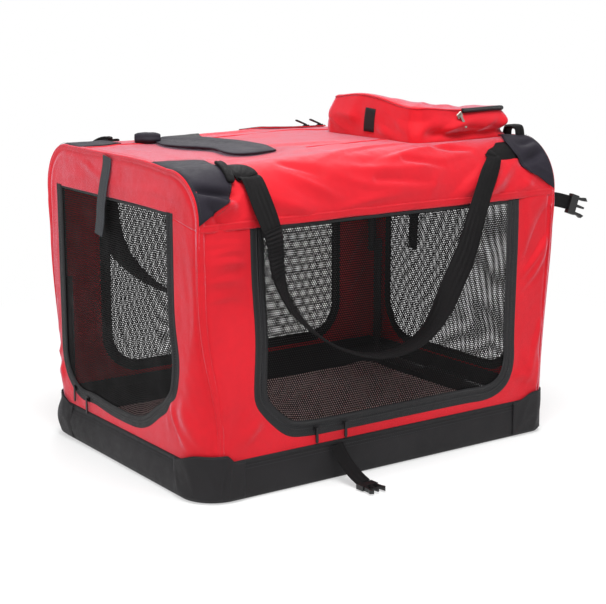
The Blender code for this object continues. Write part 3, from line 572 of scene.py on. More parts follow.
# Sharp folds in the roof cloth: start, end, width, depth
DENTS = [
    ((-0.350, -0.236), (-0.290, -0.250), 0.0075, -0.0110),
    ((-0.346, -0.250), (-0.296, -0.266), 0.0085, 0.0080),
    ((-0.335, -0.256), (-0.318, -0.292), 0.0060, -0.0045),
    ((0.350, -0.232), (0.296, -0.246), 0.0070, -0.0060),
    ((0.348, -0.206), (0.306, -0.216), 0.0060, -0.0040),
    ((0.344, -0.220), (0.306, -0.232), 0.0065, 0.0030),
    ((-0.352, 0.228), (-0.300, 0.244), 0.0060, -0.0050),
    ((0.352, 0.228), (0.300, 0.240), 0.0060, -0.0050),
    ((0.050, -0.222), (0.125, -0.238), 0.0060, -0.0045),
    ((0.128, -0.200), (0.200, -0.214), 0.0060, -0.0045),
    ((-0.020, -0.250), (0.090, -0.262), 0.0055, -0.0035),
    ((-0.180, -0.205), (-0.120, -0.235), 0.0065, -0.0035),
]


def turned(u, v, angle):
    """A point's place along and across a direction in degrees."""
    c, s = math.cos(math.radians(angle)), math.sin(math.radians(angle))
    return u * c + v * s, v * c - u * s


def ridge(u, v, angle, wave, stretch, seed):
    """Folds with a rounded back: bent, drawn-out noise whose crossings are raised."""
    along, across = turned(u, v, angle)
    bend = 0.6 * noise.noise(Vector((along / (wave * 4), across / (wave * 4), seed + 7)))
    value = noise.noise(Vector((across / wave + bend, along / (wave * stretch), seed)))
    return max(0.55 - 2.2 * (math.sqrt(value * value + 0.0016) - 0.04), -0.1)


def crease(u, v, angle, wave, stretch, seed):
    """Soft parallel folds: noise drawn out along one direction."""
    along, across = turned(u, v, angle)
    bend = 1.4 * noise.noise(Vector((u / (wave * 5), v / (wave * 5), seed + 7)))
    return noise.noise(Vector((across / wave + bend, along / (wave * stretch), seed)))


def blob(u, v, at, size):
    """A soft round hump of height 1."""
    return math.exp(-(((u - at[0]) / size[0]) ** 2) - ((v - at[1]) / size[1]) ** 2)


def settled(x, y):
    """0 where the pouch and the grip lie on the roof and keep it smooth, 1 elsewhere."""
    dx, dy = abs(x - POUCH_MIDDLE.x) - POUCH_HALF.x, abs(y - POUCH_MIDDLE.y) - POUCH_HALF.y
    by_grip = math.hypot(x + 0.172, (y - 0.020) / 2.4) - 0.060
    return smoothstep(-0.002, 0.018, max(dx, dy)) * smoothstep(0.0, 0.025, by_grip)


def folds(u, v, listed, seed):
    """How far the cloth stands out in its listed folds and its fine crumples."""
    height = 0.0011 * noise.noise(Vector((u * 17, v * 17, seed)))
    height += 0.0003 * noise.noise(Vector((u * 60, v * 60, seed)))
    for i, (at, size, angle, wave, tall, stretch) in enumerate(listed):
        near = blob(u, v, at, size)
        if near > 0.02:
            height += near * tall * ridge(u, v, angle, wave, stretch, seed + 3.1 * i)
    return height


def dents(x, s):
    """How far the roof cloth's sharp folds stand out or lie in."""
    height = 0.0
    for (xa, sa), (xb, sb), width, depth in DENTS:
        t = ((x - xa) * (xb - xa) + (s - sa) * (sb - sa)) / ((xb - xa) ** 2 + (sb - sa) ** 2)
        t = min(max(t, 0.0), 1.0)
        off = math.hypot(x - xa - t * (xb - xa), s - sa - t * (sb - sa))
        if off < 3 * width:
            middle = 0.35 + 0.65 * math.sin(math.pi * (0.1 + 0.8 * t))
            height += depth * math.exp(-((off / width) ** 2)) * middle
    return height * smoothstep(-0.004, 0.016, HALF_X - abs(x))


def corner(sx, sy, z):
    """A vertical corner's radius in plan, and the angle where its seam stands on the bend."""
    radius, turn = CORNERS[sx, sy]
    low = 1 - smoothstep(0.10, 0.36, z)
    high = 0.007 * (1 - smoothstep(0.36, 0.42, z))
    return high + (radius - high) * low, 45 + (turn - 45) * low


def on_plan(x, y, z):
    """Where a point of the square outline goes with its corners bent, and the way out there."""
    sx, sy = sign(x), sign(y)
    dx, dy = HALF_X - abs(x), HALF_Y - abs(y)
    radius, turn = corner(sx, sy, z)
    far = max(dx, dy)
    if far >= radius or radius < 1e-6:
        return (x, y), (Vector((0, sy, 0)) if dy <= dx else Vector((sx, 0, 0)))
    t = far / radius
    angle = math.radians(turn * (1 - t) if dy <= dx else turn + (90 - turn) * t)
    s, c = math.sin(angle), math.cos(angle)
    at = (sx * (HALF_X - radius + radius * s), sy * (HALF_Y - radius + radius * c))
    return at, Vector((sx * s, sy * c, 0))


def raised(x, y):
    """How far the frame lifts the roof over its flat height, and where it sags."""
    along = 0.55 + 0.45 * (1 - (x / HALF_X) ** 2)
    over = 1 - min(abs(y) / 0.30, 1) ** 4
    corner_lift = 0.004 * blob(x, y, (0.33, -0.17), (0.08, 0.06))
    sag = 0.0062 * blob(x, y, (-0.185, 0.020), (0.13, 0.16))
    sag += 0.0095 * blob(x, y, (-0.330, -0.200), (0.150, 0.080))
    return CROWN * along * over + corner_lift - sag


def drawn(u, v, half, pulls):
    """Move a point of a wall with the pulls on its window's edge."""
    hold = smoothstep(0, 0.03, half - abs(u)) * smoothstep(BASE_H - 0.004, BASE_H + 0.020, v)
    across = up = 0.0
    for at, size, by in pulls:
        near = blob(u, v, at, size) * hold
        across += by[0] * near
        up += by[1] * near
    return u + across, v + up


def shaped(point):
    """Bend a point of the cloth's plain outline to the way it sits on its frame."""
    x, y, z = point
    dy, dz = abs(y) - SHOULDER_Y, z - HEM_Z
    if dy > 0 and dz > 0:
        reach = min(math.hypot(dy, dz) / SHOULDER_R, 1.1)
        out = 1 + SQUARING * math.sin(2 * math.atan2(dy, dz)) * reach**2
        y, z = sign(y) * (SHOULDER_Y + dy * out), HEM_Z + dz * out
    z += raised(x, y) * smoothstep(0.40, HEIGHT, z)
    if x > 0:
        share = smoothstep(0.20, HALF_X, x)
        x += share * 0.007 * blob(y, z, (-0.25, 0.39), (0.12, 0.11))
    return Vector((x, y, z))


def past_window(window, inset, u, v):
    """How far a point lies outside the window's edge, and less than 0 inside it."""
    half, low, r = window["half"] - inset, window["low"] + inset, window["radius"] - inset
    far = abs(u - window["centre"])
    if far > half - r and v < low + r:
        return math.hypot(far - half + r, low + r - v) - r
    return max(far - half, low - v, v - window["top"] + inset)


def calm(window, u, v):
    """0 along the window's edge, where the binding holds the cloth flat, and 1 well away from it."""
    return smoothstep(0.001, 0.022, past_window(window, 0, u, v))


def front_point(side, u, v, lift=0.0):
    """A point on the front (side -1) or rear wall, with its folds."""
    rim = HALF_X - abs(u)
    edge = calm(FRONT_WINDOW, u, v) * smoothstep(0.004, 0.018, rim) * smoothstep(0.004, 0.034, v - BASE_H)
    rise = folds(u, v, FRONT_FOLDS, 2.0 if side < 0 else 31.0) * edge if edge else 0
    rise += 0.0018 * math.sin(math.pi * min(max((v - BASE_H) / (HEM_Z - BASE_H), 0), 1))
    rise -= 0.0016 * math.exp(-(((rim - 0.0125) / 0.0030) ** 2))
    if side < 0:
        u, v = drawn(u, v, HALF_X, FRONT_PULLS)
    (x, y), out = on_plan(u, side * HALF_Y, v)
    return shaped(Vector((x, y, v)) + out * (rise + lift))


def end_point(side, u, v, lift=0.0):
    """A point on the left (side -1) or right end."""
    rim = HALF_Y - abs(u)
    if v > HEM_Z and abs(u) > SHOULDER_Y:
        rim = SHOULDER_R - math.hypot(abs(u) - SHOULDER_Y, v - HEM_Z)
    rim = min(rim, HEIGHT - v)
    edge = calm(END_WINDOW, u, v) * smoothstep(0.004, 0.018, rim) * smoothstep(0.004, 0.034, v - BASE_H)
    rise = folds(u, v, END_FOLDS, 11.0 if side < 0 else 53.0) * edge if edge else 0
    rise += 0.0024 * smoothstep(0, 0.10, min(rim, v - BASE_H))
    rise -= 0.0016 * math.exp(-(((rim - 0.0075) / 0.0030) ** 2))
    if side < 0:
        u, v = drawn(u, v, HALF_Y, LEFT_PULLS)
    (x, y), out = on_plan(side * HALF_X, u, v)
    return shaped(Vector((x, y, v)) + out * (rise + lift))


def top_point(x, s, lift=0.0):
    """A point on the roof cloth: s runs from the front hem (negative) over to the rear one."""
    far = abs(s)
    fall = far - SHOULDER_Y
    edge = smoothstep(0, 0.014, HALF_X - abs(x)) * settled(x, s)
    edge *= 0.35 + 0.65 * smoothstep(0, 0.020, TOP_HALF - far)
    rise = folds(x, s, TOP_FOLDS, 71.0) * edge + dents(x, s) + lift
    if fall <= 0:
        return shaped(Vector((x, s, HEIGHT + rise)))
    a = min(fall / SHOULDER_R, math.pi / 2)
    over = max(fall - SHOULDER_R * math.pi / 2, 0)
    reach = SHOULDER_R + rise
    y = sign(s) * (SHOULDER_Y + reach * math.sin(a))
    return shaped(Vector((x, y, HEM_Z + reach * math.cos(a) - over)))


def roof_z(x, y):
    """The roof cloth's height over a point."""
    beyond = min(max(abs(y) - SHOULDER_Y, 0) / SHOULDER_R, 0.99)
    s = min(abs(y), SHOULDER_Y) + SHOULDER_R * math.asin(beyond)
    return top_point(x, math.copysign(s, y)).z


def above_roof(x, y, lift):
    """A point over the roof cloth."""
    return Vector((x, y, roof_z(x, y) + lift))


def tunnel_path(x, inset):
    """Round the cloth from the base up, over the roof and down, at one place along it."""
    points = []
    for side in (-1, 1):
        v = [BASE_H - 0.002 + (HEM_Z - BASE_H) * i / 60 for i in range(61)]
        wall = [front_point(side, x, z, inset) for z in v]
        points.append(wall if side < 0 else list(reversed(wall)))
    over = [top_point(x, -TOP_HALF + 2 * TOP_HALF * i / 120, inset) for i in range(121)]
    return resample(points[0] + over[1:-1] + points[1], 300)


def out_of_tunnel(point):
    """The way out of the cloth round the cabin: over its roof, down its walls and round its corners."""
    if point.z >= HEM_Z:
        y = point.y - math.copysign(min(abs(point.y), SHOULDER_Y), point.y)
        return Vector((0, y, point.z - HEM_Z)).normalized()
    radius = corner(sign(point.x), sign(point.y), point.z)[0]
    dx, dy = abs(point.x) - HALF_X + radius, abs(point.y) - HALF_Y + radius
    if dx > 0 and dy > 0 and radius > 0.001:
        return Vector((sign(point.x) * dx, sign(point.y) * dy, 0)).normalized()
    return Vector((0, sign(point.y), 0))


# Walls and roof


def window_runs(window, inset, corner=0.0):
    """The window's edge as runs: left side, bend, foot, bend, right side, and the top's pieces."""
    half, low, r = window["half"] - inset, window["low"] + inset, window["radius"] - inset
    left, right = window["centre"] - half, window["centre"] + half
    top = window["top"] - (inset if corner else 0)
    k = max(corner - inset, 0.004) if corner else 0.0
    first = arc((left + r, low + r), r, 180, 270, 24)
    second = arc((right - r, low + r), r, 270, 360, 24)
    runs = [[Vector((left, top - k)), Vector((left, low + r))], first, [first[-1], second[0]]]
    runs += [second, [Vector((right, low + r)), Vector((right, top - k))]]
    if corner:
        over = arc((right - k, top - k), k, 0, 90, 8)
        back = arc((left + k, top - k), k, 90, 180, 8)
        runs += [over, [over[-1], back[0]], back]
    return runs


def wall_edge(window, reach, top):
    """A wall's outer edge as runs: left side, bottom corner, foot, bottom corner, right side."""
    bend = WALL_LOW + window["radius"]
    inner = window["half"] - window["radius"]
    first, second = Vector((window["centre"] - inner, WALL_LOW)), Vector((window["centre"] + inner, WALL_LOW))
    left, right = Vector((-reach, bend)), Vector((reach, bend))
    return [
        [Vector((-reach, top)), left],
        cornered(left, Vector((-reach, WALL_LOW)), first),
        [first, second],
        cornered(second, Vector((reach, WALL_LOW)), right),
        [right, Vector((reach, top))],
    ]


def wall_rings(window, outside, counts, steps, corner=0.0, tuck=0.004):
    """Rows from the window's edge out to the wall's edge, matched run by run."""
    inner = matched(window_runs(window, tuck, corner), counts)
    outer = matched(outside, counts)
    return [[a.lerp(b, k / steps) for a, b in zip(inner, outer)] for k in range(steps + 1)]


def long_wall(name, side, node):
    """The front or rear wall, which rides the base."""
    top = HEM_Z + 0.002
    rows = wall_rings(FRONT_WINDOW, wall_edge(FRONT_WINDOW, HALF_X, top), (90, 30, 110, 30, 90), 34)
    rows = [[front_point(side, p.x, p.y) for p in row] for row in rows]
    wall = grid(name, rows, RED, CLOTH_THICK, offset=side)
    settle(wall, "red_cloth", "base", LONG_WALL_FOLD, node)


def end_wall(name, side, node):
    """The left or right end, round at its upper corners."""
    window = END_WINDOW
    outside = wall_edge(window, HALF_Y, HEM_Z)
    outside.append(arc((SHOULDER_Y, HEM_Z), SHOULDER_R, 0, 90, 24))
    outside.append([Vector((SHOULDER_Y, HEIGHT)), Vector((-SHOULDER_Y, HEIGHT))])
    outside.append(arc((-SHOULDER_Y, HEM_Z), SHOULDER_R, 90, 180, 24))
    rows = wall_rings(window, outside, (80, 30, 60, 30, 80, 24, 70, 24), 30, 0.006, 0.0015)
    rows = [[end_point(side, p.x, p.y) for p in row] for row in rows]
    wall = grid(name, rows, RED, CLOTH_THICK, offset=-side)
    on_end_wall(wall, "red_cloth", node)


def roof_cloth():
    """The roof with both its shoulders, down to the hems."""
    reach = TOP_HALF + 0.004
    rows = lattice(180, 220, lambda t, u: top_point(LENGTH * (u - 0.5), reach * (2 * t - 1)))
    top = grid("roof_cloth", rows, RED, CLOTH_THICK)
    on_roof(top, "red_cloth", "top_panel")


# Windows

EDGE_STEPS = (44, 24, 60, 24, 44)
NET_PITCH = 0.0042
NET_THREAD = 0.00172
NET_BILLOW = 0.0035  # how far a net stands off its window's face in waves
NET_HEAD = 0.003  # how far below the window's top a net ends


def net(name, window, inset, place, move, nodes, seed):
    """Hexagonal net: every mesh is a ring of six flat threads shared with its neighbours."""
    reach = NET_PITCH / math.sqrt(3)
    share = 1 - NET_THREAD / NET_PITCH
    row_step = NET_PITCH * math.sqrt(3) / 2
    c = window["centre"]
    top = window["top"] - NET_HEAD
    columns = int(window["half"] / NET_PITCH) + 1
    rows = int((top - window["low"]) / row_step) + 1
    corners = [(math.sin(math.tau * k / 6), math.cos(math.tau * k / 6)) for k in range(6)]
    verts, faces, known = [], [], {}

    def at(u, v):
        wave = noise.noise(Vector((u * 9, v * 9, seed))) + 0.4 * noise.noise(Vector((u * 24, v * 24, seed)))
        room = min(window["half"] - inset - abs(u - c), v - window["low"] - inset, top - v)
        return place(u, v, NET_BILLOW * wave * smoothstep(0, 0.05, room) - 0.0008)

    for j in range(rows + 1):
        for i in range(-columns, columns + 1):
            u = c + (i + 0.5 * (j % 2)) * NET_PITCH
            v = window["low"] + j * row_step
            if v > top or past_window(window, inset, u, min(v, window["top"] - inset - 0.001)) >= 0:
                continue
            outer = []
            for x, y in corners:
                key = (round((u + reach * x) * 4000), round((v + reach * y) * 4000))
                if key not in known:
                    known[key] = len(verts)
                    verts.append(at(u + reach * x, v + reach * y))
                outer.append(known[key])
            first = len(verts)
            verts += [at(u + reach * share * x, v + reach * share * y) for x, y in corners]
            for k in range(6):
                n = (k + 1) % 6
                faces.append((outer[k], outer[n], first + n, first + k))
    made = mesh_object(name, verts, faces, NET, smooth=False)
    settle(made, "net", *move, *nodes)


def opening(name, window, binding, seed, place, face, wall, door, nodes):
    """One window: zip tape and coil on the wall, door edge and net on the door."""
    share = binding * 0.45

    def line(inset, lift):
        return [place(p.x, p.y, lift) for p in matched(window_runs(window, inset), EDGE_STEPS)]

    def sewn(label, lines, move):
        made = stitches(name + label, [(line(*at), face) for at in lines], BLACK_THREAD)
        settle(made, "binding", *move)

    def band(label, path, profile, move, *stands_for):
        made = sweep(name + label, path, face, profile, TAPE)
        settle(made, "binding", *move, *stands_for)

    profile = flat_profile(share + 0.004, 0.0012, -0.0002, 0.0004)
    band("_zip_tape", line(share * 0.45, 0.0003), profile, wall, nodes[0])
    settle(teeth(name + "_zip_coil", line(share + 0.0004, 0.0006), face), "binding", *wall)
    width = binding - share - 0.0005
    profile = flat_profile(width, 0.0016, -0.0002, 0.0016)
    band("_door_binding", line(share + width / 2 + 0.0010, 0.0), profile, door, nodes[1])
    sewn("_door_stitches", [(share + 0.0026, 0.0022), (binding - 0.0015, 0.0016)], door)
    sewn("_zip_stitches", [(0.0012, 0.0016)], wall)
    net(name + "_net", window, binding - 0.004, place, door, nodes[2:], seed)
    reach = window["half"] - 0.004
    top = [place(window["centre"] + d * reach, window["top"] - 0.0022, 0.0) for d in (-1, 1)]
    band("_door_head", resample(top, 60), flat_profile(0.0055, 0.0016, -0.0002, 0.0006), door)


def openings():
    """Four windows. The rear one is fixed, so that all of it belongs to the wall."""
    wall, door = ("base", LONG_WALL_FOLD), ("front_door", (0.443, 0.01))
    nodes = ("front_zip", "front_door_edge", "front_door_net")
    front, rear = partial(front_point, -1), partial(front_point, 1)
    opening("front", FRONT_WINDOW, FRONT_BINDING, 3.0, front, (0, -1, 0), wall, door, nodes)
    nodes = ("rear_binding", "rear_binding", "rear_net")
    opening("rear", FRONT_WINDOW, FRONT_BINDING, 5.0, rear, (0, 1, 0), wall, wall, nodes)
    wall = ("base", END_WALL_FOLD)
    for (name, side), seed in zip(ENDS, (7.0, 9.0)):
        nodes = (name + "_zip", name + "_door_edge", name + "_door_net")
        door = (name + "_door", (HEIGHT - 0.0002, END_WALL_FOLD[1]))
        place = partial(end_point, side)
        opening(name, END_WINDOW, END_BINDING, seed, place, (side, 0, 0), wall, door, nodes)


# Seams

# Two welts along the roof: name, y, and where they start and end
WELTS = (("front", -0.103, -0.060, 0.112), ("rear", 0.128, 0.004 - HALF_X, HALF_X - 0.004))


def end_seams():
    """The seam bands and lips where the ends meet the roof and the long walls."""
    sewn = []
    for name, side in ENDS:
        path = tunnel_path(side * (HALF_X - 0.0052), 0.0002)
        profile = flat_profile(0.0100, 0.0012, 0, 0.0006)
        on_end_wall(sweep(name + "_seam", path, out_of_tunnel, profile, RED), "red_cloth")
        path = tunnel_path(side * HALF_X, 0.0006)
        on_end_wall(sweep(name + "_seam_lip", path, out_of_tunnel, round_profile(0.0021), RED), "red_cloth")
        for back in (0.0034, 0.0088):
            sewn.append((tunnel_path(side * (HALF_X - back), 0.0016), out_of_tunnel))
    on_end_wall(stitches("end_seam_stitches", sewn, THREAD), "red_cloth")


def roof_seams():
    """The roof cloth's hems and the two welts along it, with their stitches."""
    sewn = []
    for name, side in SIDES:
        hem = []
        for i in range(241):
            x = -HALF_X + 0.001 + (LENGTH - 0.002) * i / 240
            reach = side * (TOP_HALF - 0.0040 + 0.0012 * noise.noise(Vector((x * 20, 4, 2))))
            hem.append(top_point(x, reach, 0.0001))
        face = (0, side, 0)
        profile = flat_profile(0.0125, 0.0014, 0, 0.0006)
        on_roof(sweep(name + "_hem", hem, face, profile, RED), "red_cloth")
        for up in (0.0045, -0.0040):
            sewn.append(([p + Vector((0, side * 0.0021, up)) for p in hem], face))
    for name, y, first, last in WELTS:
        path = [top_point(first + (last - first) * i / 240, y) for i in range(241)]
        welt = sweep("roof_welt_" + name, path, out_of_tunnel, round_profile(0.0016, 8), RED)
        on_roof(welt, "red_cloth")
        sewn.append(([p + Vector((0, 0.0042, 0.0004)) for p in path], out_of_tunnel))
    on_roof(stitches("roof_stitches", sewn, THREAD), "red_cloth")


# Base


def flare(x, y):
    """How far the base swells at its rear left corner."""
    return 0.0065 * blob(x, y, (-HALF_X, HALF_Y), (0.10, 0.14))


def base_row(outset, z):
    """A level line round the base at one height, its corners bent as the walls' are."""
    flat = [(HALF_X, HALF_Y), (-HALF_X, HALF_Y), (-HALF_X, -HALF_Y), (HALF_X, -HALF_Y), (HALF_X, HALF_Y)]
    low = math.sin(math.pi * min(max(z / BASE_H, 0), 1))
    points = []
    for p in resample([Vector((x, y, 0)) for x, y in flat], 400)[:-1]:
        (x, y), out = on_plan(p.x, p.y, BASE_H)
        wave = 0.0022 * noise.noise(Vector((x * 11, y * 11, z * 26)))
        wave += 0.0010 * noise.noise(Vector((x * 34, y * 34, z * 14 + 4)))
        wave += flare(x, y) + 0.0025 * blob(x, 0, (-HALF_X, 0), (0.03, 1))
        points.append(Vector((x, y, z)) + out * (outset + wave * low))
    return points


def out_of_base(point):
    """The way out of the tray at the nearest point of its plain outline."""
    x, y = point.x, point.y
    if HALF_X - abs(x) < HALF_Y - abs(y):
        return on_plan(sign(x) * HALF_X, y, BASE_H)[1]
    return on_plan(x, sign(y) * HALF_Y, BASE_H)[1]


def base_cloth():
    """The tray of black cloth: rows round it, by their distance out of the outline and their height."""
    outer = [(-0.0045, 0.0), (0.0002, 0.0012), (0.0022, 0.0042), (0.0032, 0.0100), (0.0036, 0.020)]
    outer += [(0.0034, 0.034), (0.0030, 0.046), (0.0024, 0.0560), (0.0020, 0.0592), (0.0034, 0.0600)]
    outer += [(0.0036, 0.0640), (0.0022, BASE_H + 0.0004)]
    inner = [(-0.0012, BASE_H), (-0.0030, BASE_H - 0.001), (-0.0030, 0.040), (-0.0030, 0.005)]
    rows = [base_row(outset, z) for outset, z in outer + inner]
    whole(closed_grid("base_cover", rows, BLACK), "base_cloth", "base", "base_tub")
    rows = [base_row(-0.0036, z) for z in (0.061, 0.067, 0.073, 0.0795)]
    on_end_wall(grid("base_lining", rows, BLACK, 0.0008, 1, closed=True), "base_cloth")


def gusset(name, sx, sy):
    """A reinforcing patch folded round a bottom corner, a little higher at the corner."""
    reach, rise = 0.076, 0.013

    def at(t, u):
        along = (2 * u - 1) * reach
        far = abs(along)
        x, y = (HALF_X - far, HALF_Y) if along < 0 else (HALF_X, HALF_Y - far)
        (x, y), out = on_plan(sx * x, sy * y, BASE_H)
        top = BASE_H - 0.001 + rise * (1 - smoothstep(reach - 0.050, reach - 0.008, far))
        z = 0.0010 + (top - 0.0010) * t
        soft = 0.0034 * ridge(far, z, 62 * sx * sy, 0.034, 4, 13.0 + sx + 3 * sy)
        soft *= math.sin(math.pi * t) * smoothstep(0, 0.012, reach - far)
        soft += flare(x, y) * math.sin(math.pi * min(z / BASE_H, 1))
        tuck = 0.0070 * (1 - smoothstep(0.0, 0.007, z))
        return Vector((x, y, z)) + out * (0.0052 + soft - tuck)

    rows = lattice(24, 52, at)
    whole(grid(name, rows, BLACK, 0.0012, sx * sy), "base_cloth", "base")
    return [p + Vector((0, 0, -0.0030)) for p in rows[-1]]


def base():
    """The tray with its four gussets, and the stitches that hold them."""
    base_cloth()
    sewn = [(gusset(name + "_gusset", end, side), out_of_base) for name, end, side in PLACES]
    for outset, z in ((0.0034, 0.0555), (0.0036, 0.0500)):
        line = base_row(outset, z)
        sewn.append((line + line[:1], out_of_base))
    whole(stitches("base_stitches", sewn, BLACK_THREAD), "base_cloth", "base")


def rounded_plan(u, v, half_x, half_y, r):
    """Where a point of a square grid from -1 to 1 lies in a rectangle with rounded corners."""
    x, y = u * half_x, v * half_y
    dx, dy = abs(x) - half_x + r, abs(y) - half_y + r
    if dx > 0 and dy > 0:
        scale = max(dx, dy) / math.hypot(dx, dy)
        x, y = math.copysign(half_x - r + dx * scale, x), math.copysign(half_y - r + dy * scale, y)
    return x, y


def mat():
    """A thick fleece mat with rolled edges, riding up a little against the walls."""
    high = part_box("floor_mat")[1]
    half_x, half_y = high.x - 0.0005, high.y - 0.0005
    low, thick = 0.0034, 0.029
    middle = low + thick / 2
    columns, rows = 96, 68
    tops, lows = [], []
    for j in range(rows + 1):
        v = -1 + 2 * j / rows
        for i in range(columns + 1):
            u = -1 + 2 * i / columns
            x, y = rounded_plan(u, v, half_x, half_y, 0.045)
            edge = min((1 - abs(u)) * half_x, (1 - abs(v)) * half_y)
            rise = thick / 2 * math.sqrt(max(1 - (1 - min(edge / 0.016, 1)) ** 2, 0))
            climb = 0.006 * smoothstep(0.10, 0.0, half_x - x) + 0.004 * smoothstep(0.08, 0.0, half_y - y)
            soft = 0.0024 * noise.noise(Vector((x * 8, y * 8, 1)))
            soft += 0.0009 * noise.noise(Vector((x * 30, y * 30, 5)))
            tops.append(Vector((x, y, middle + rise + (climb + soft) * smoothstep(0, 0.02, edge))))
            lows.append(Vector((x, y, middle - rise)))
    half, width = len(tops), columns + 1
    upper = quads(rows + 1, width)
    lower = [(half + a, half + d, half + c, half + b) for a, b, c, d in upper]
    rim = [*range(columns), *range(columns, half - 1, width)]
    rim += [*range(half - 1, half - width, -1), *range(half - width, 0, -width)]
    around = [(a, half + a, half + b, b) for a, b in zip(rim, rim[1:] + rim[:1])]
    verts = tops + lows
    made = mesh_object("fleece_mat", verts, upper + lower + around, FLEECE, [(p.x, p.y) for p in verts])
    settle(made, "fleece", "base", (low, 0.5), "floor_mat")


# Patches on the shoulders

PATCH_REACH = 0.052  # how far a full patch goes in on the roof from where the shoulder starts
PATCH_RUN = PATCH_REACH + math.radians(78.5) * SHOULDER_R

# A patch's width at shares of the way down it
PATCH_WIDTHS = [(0.0, 0.010), (0.12, 0.083), (0.36, 0.078), (0.69, 0.073)]
PATCH_WIDTHS += [(0.83, 0.063), (0.92, 0.050), (1.0, 0.028)]


def patch_width(share):
    """A full patch's width at a share of the way down it."""
    for (a, wa), (b, wb) in zip(PATCH_WIDTHS, PATCH_WIDTHS[1:]):
        if share <= b:
            return wa + (wb - wa) * (share - a) / (b - a)
    return PATCH_WIDTHS[-1][1]


def corner_patch(name, end, side, reach, node):
    """A patch that starts at its reach on the roof and comes down over the shoulder."""
    first = (PATCH_REACH - reach) / PATCH_RUN
    steps, across = 56, 30
    raise_by = 0.0022 if end > 0 else 0.0

    def at(back, s, lift):
        return top_point(end * (HALF_X - back), side * (SHOULDER_Y + s), lift)

    rows, near, far = [], [], []
    for i in range(steps + 1):
        share = first + (1 - first) * i / steps
        s = share * PATCH_RUN - PATCH_REACH
        width = patch_width(share) - 0.001
        if reach < 0:
            width *= 0.76 + 0.24 * smoothstep(0.0, 0.22, share - first)
        row = []
        for k in range(across + 1):
            t = k / across
            slope = 0.008 * (1 - 2 * t) * smoothstep(0.8, 1.0, share)
            lift = 0.0026 + 0.0010 * smoothstep(0, 0.1, min(t, 1 - t, (share - first) * 2, (1 - share) * 2))
            lift += raise_by * smoothstep(0.3, 0.8, t) * (1 - smoothstep(0.6, 0.95, share))
            row.append(at(0.0002 + width * t, s + slope, lift))
        rows.append(row)
        if 1 < i < steps - 1:
            near.append(at(0.0035, s, 0.0042))
            far.append(at(max(width - 0.003, 0.005), s, 0.0042 + raise_by))
    made = grid(name, rows, GREY, 0.0022, end * side)
    on_roof(made, "patch_cloth", node)
    mean = sum(patch_width(first + (1 - first) * (i + 0.5) / 40) for i in range(40)) / 40
    return [(near, out_of_tunnel), (far, out_of_tunnel)]


def patches():
    """Four patches. The one at the front right and the one at the rear left are shorter."""
    short = {"front_right": -0.010, "rear_left": 0.030}
    sewn = []
    for name, end, side in PLACES:
        sewn += corner_patch(name + "_patch", end, side, short.get(name, PATCH_REACH), "patch_" + name)
    on_roof(stitches("patch_stitches", sewn, BLACK_THREAD), "patch_cloth")


# Webbing

STRAP_WIDTH = 0.038
ROLL_STRAP_WIDTH = 0.027
TETHER_WIDTH = 0.025
TETHER_REACH = 0.062

# The sewn end at the left (-1) and at the right (1): where its turn is centred, the turn's first and
# last angle in degrees, its width and swell, how low it starts, and how much of it the pouch hides
TURNS = {
    -1: {
        "x": -0.272,
        "s": SHOULDER_Y + 0.064,
        "first": -16,
        "last": 80,
        "width": STRAP_WIDTH,
        "swell": 0.10,
        "low": 0.0040,
        "hidden": 0.0,
    },
    1: {
        "x": 0.2455,
        "s": SHOULDER_Y + 0.076,
        "first": -6,
        "last": 64,
        "width": 0.027,
        "swell": -0.12,
        "low": 0.0012,
        "hidden": 0.046,
    },
}

# The way of a hanging strap: x, distance out of the wall, z, and its turn about itself in degrees
STRAP_RUN = [
    (-0.249, 0.007, 0.464, 0),
    (-0.236, 0.020, 0.412, 14),
    (-0.228, 0.022, 0.350, 28),
    (-0.200, 0.024, 0.292, 55),
    (-0.131, 0.027, 0.232, 80),
    (-0.052, 0.030, 0.203, 88),
    (0.020, 0.030, 0.207, 88),
    (0.073, 0.027, 0.236, 80),
    (0.112, 0.024, 0.292, 50),
    (0.147, 0.022, 0.352, 20),
    (0.168, 0.021, 0.408, 8),
    (0.200, 0.009, 0.462, 0),
]


def strap_turn(name, end, side, node):
    """The sewn end of a strap, coming out along the roof and turning down over the shoulder."""
    turn = TURNS[end]
    low = turn["low"]
    rows = []
    for i in range(-6 if turn["hidden"] else 0, 25):
        t = max(i, 0) / 24
        angle = math.radians(turn["first"] + (turn["last"] - turn["first"]) * t)
        free = smoothstep(0.2, 0.7, t) - 0.5 * smoothstep(0.86, 1.0, t)
        back = turn["hidden"] * max(-i, 0) / 6
        wide = turn["width"] * (0.96 + turn["swell"] * math.sin(math.pi * t))
        wide += 0.012 * smoothstep(0.0, 0.020, back)
        row = []
        for k in range(13):
            far = 0.0010 + wide * k / 12
            bulge = 0.0014 * math.sin(math.pi * k / 12) - 0.0018 * (1 - k / 12) ** 4
            x = turn["x"] - end * (far * math.sin(angle) - back)
            s = turn["s"] - far * math.cos(angle)
            row.append(top_point(x, side * s, low + (0.0050 - low) * free + bulge))
        rows.append(row)
    on_roof(grid(name, rows, WEB, 0.0015, end * side), "webbing", node)


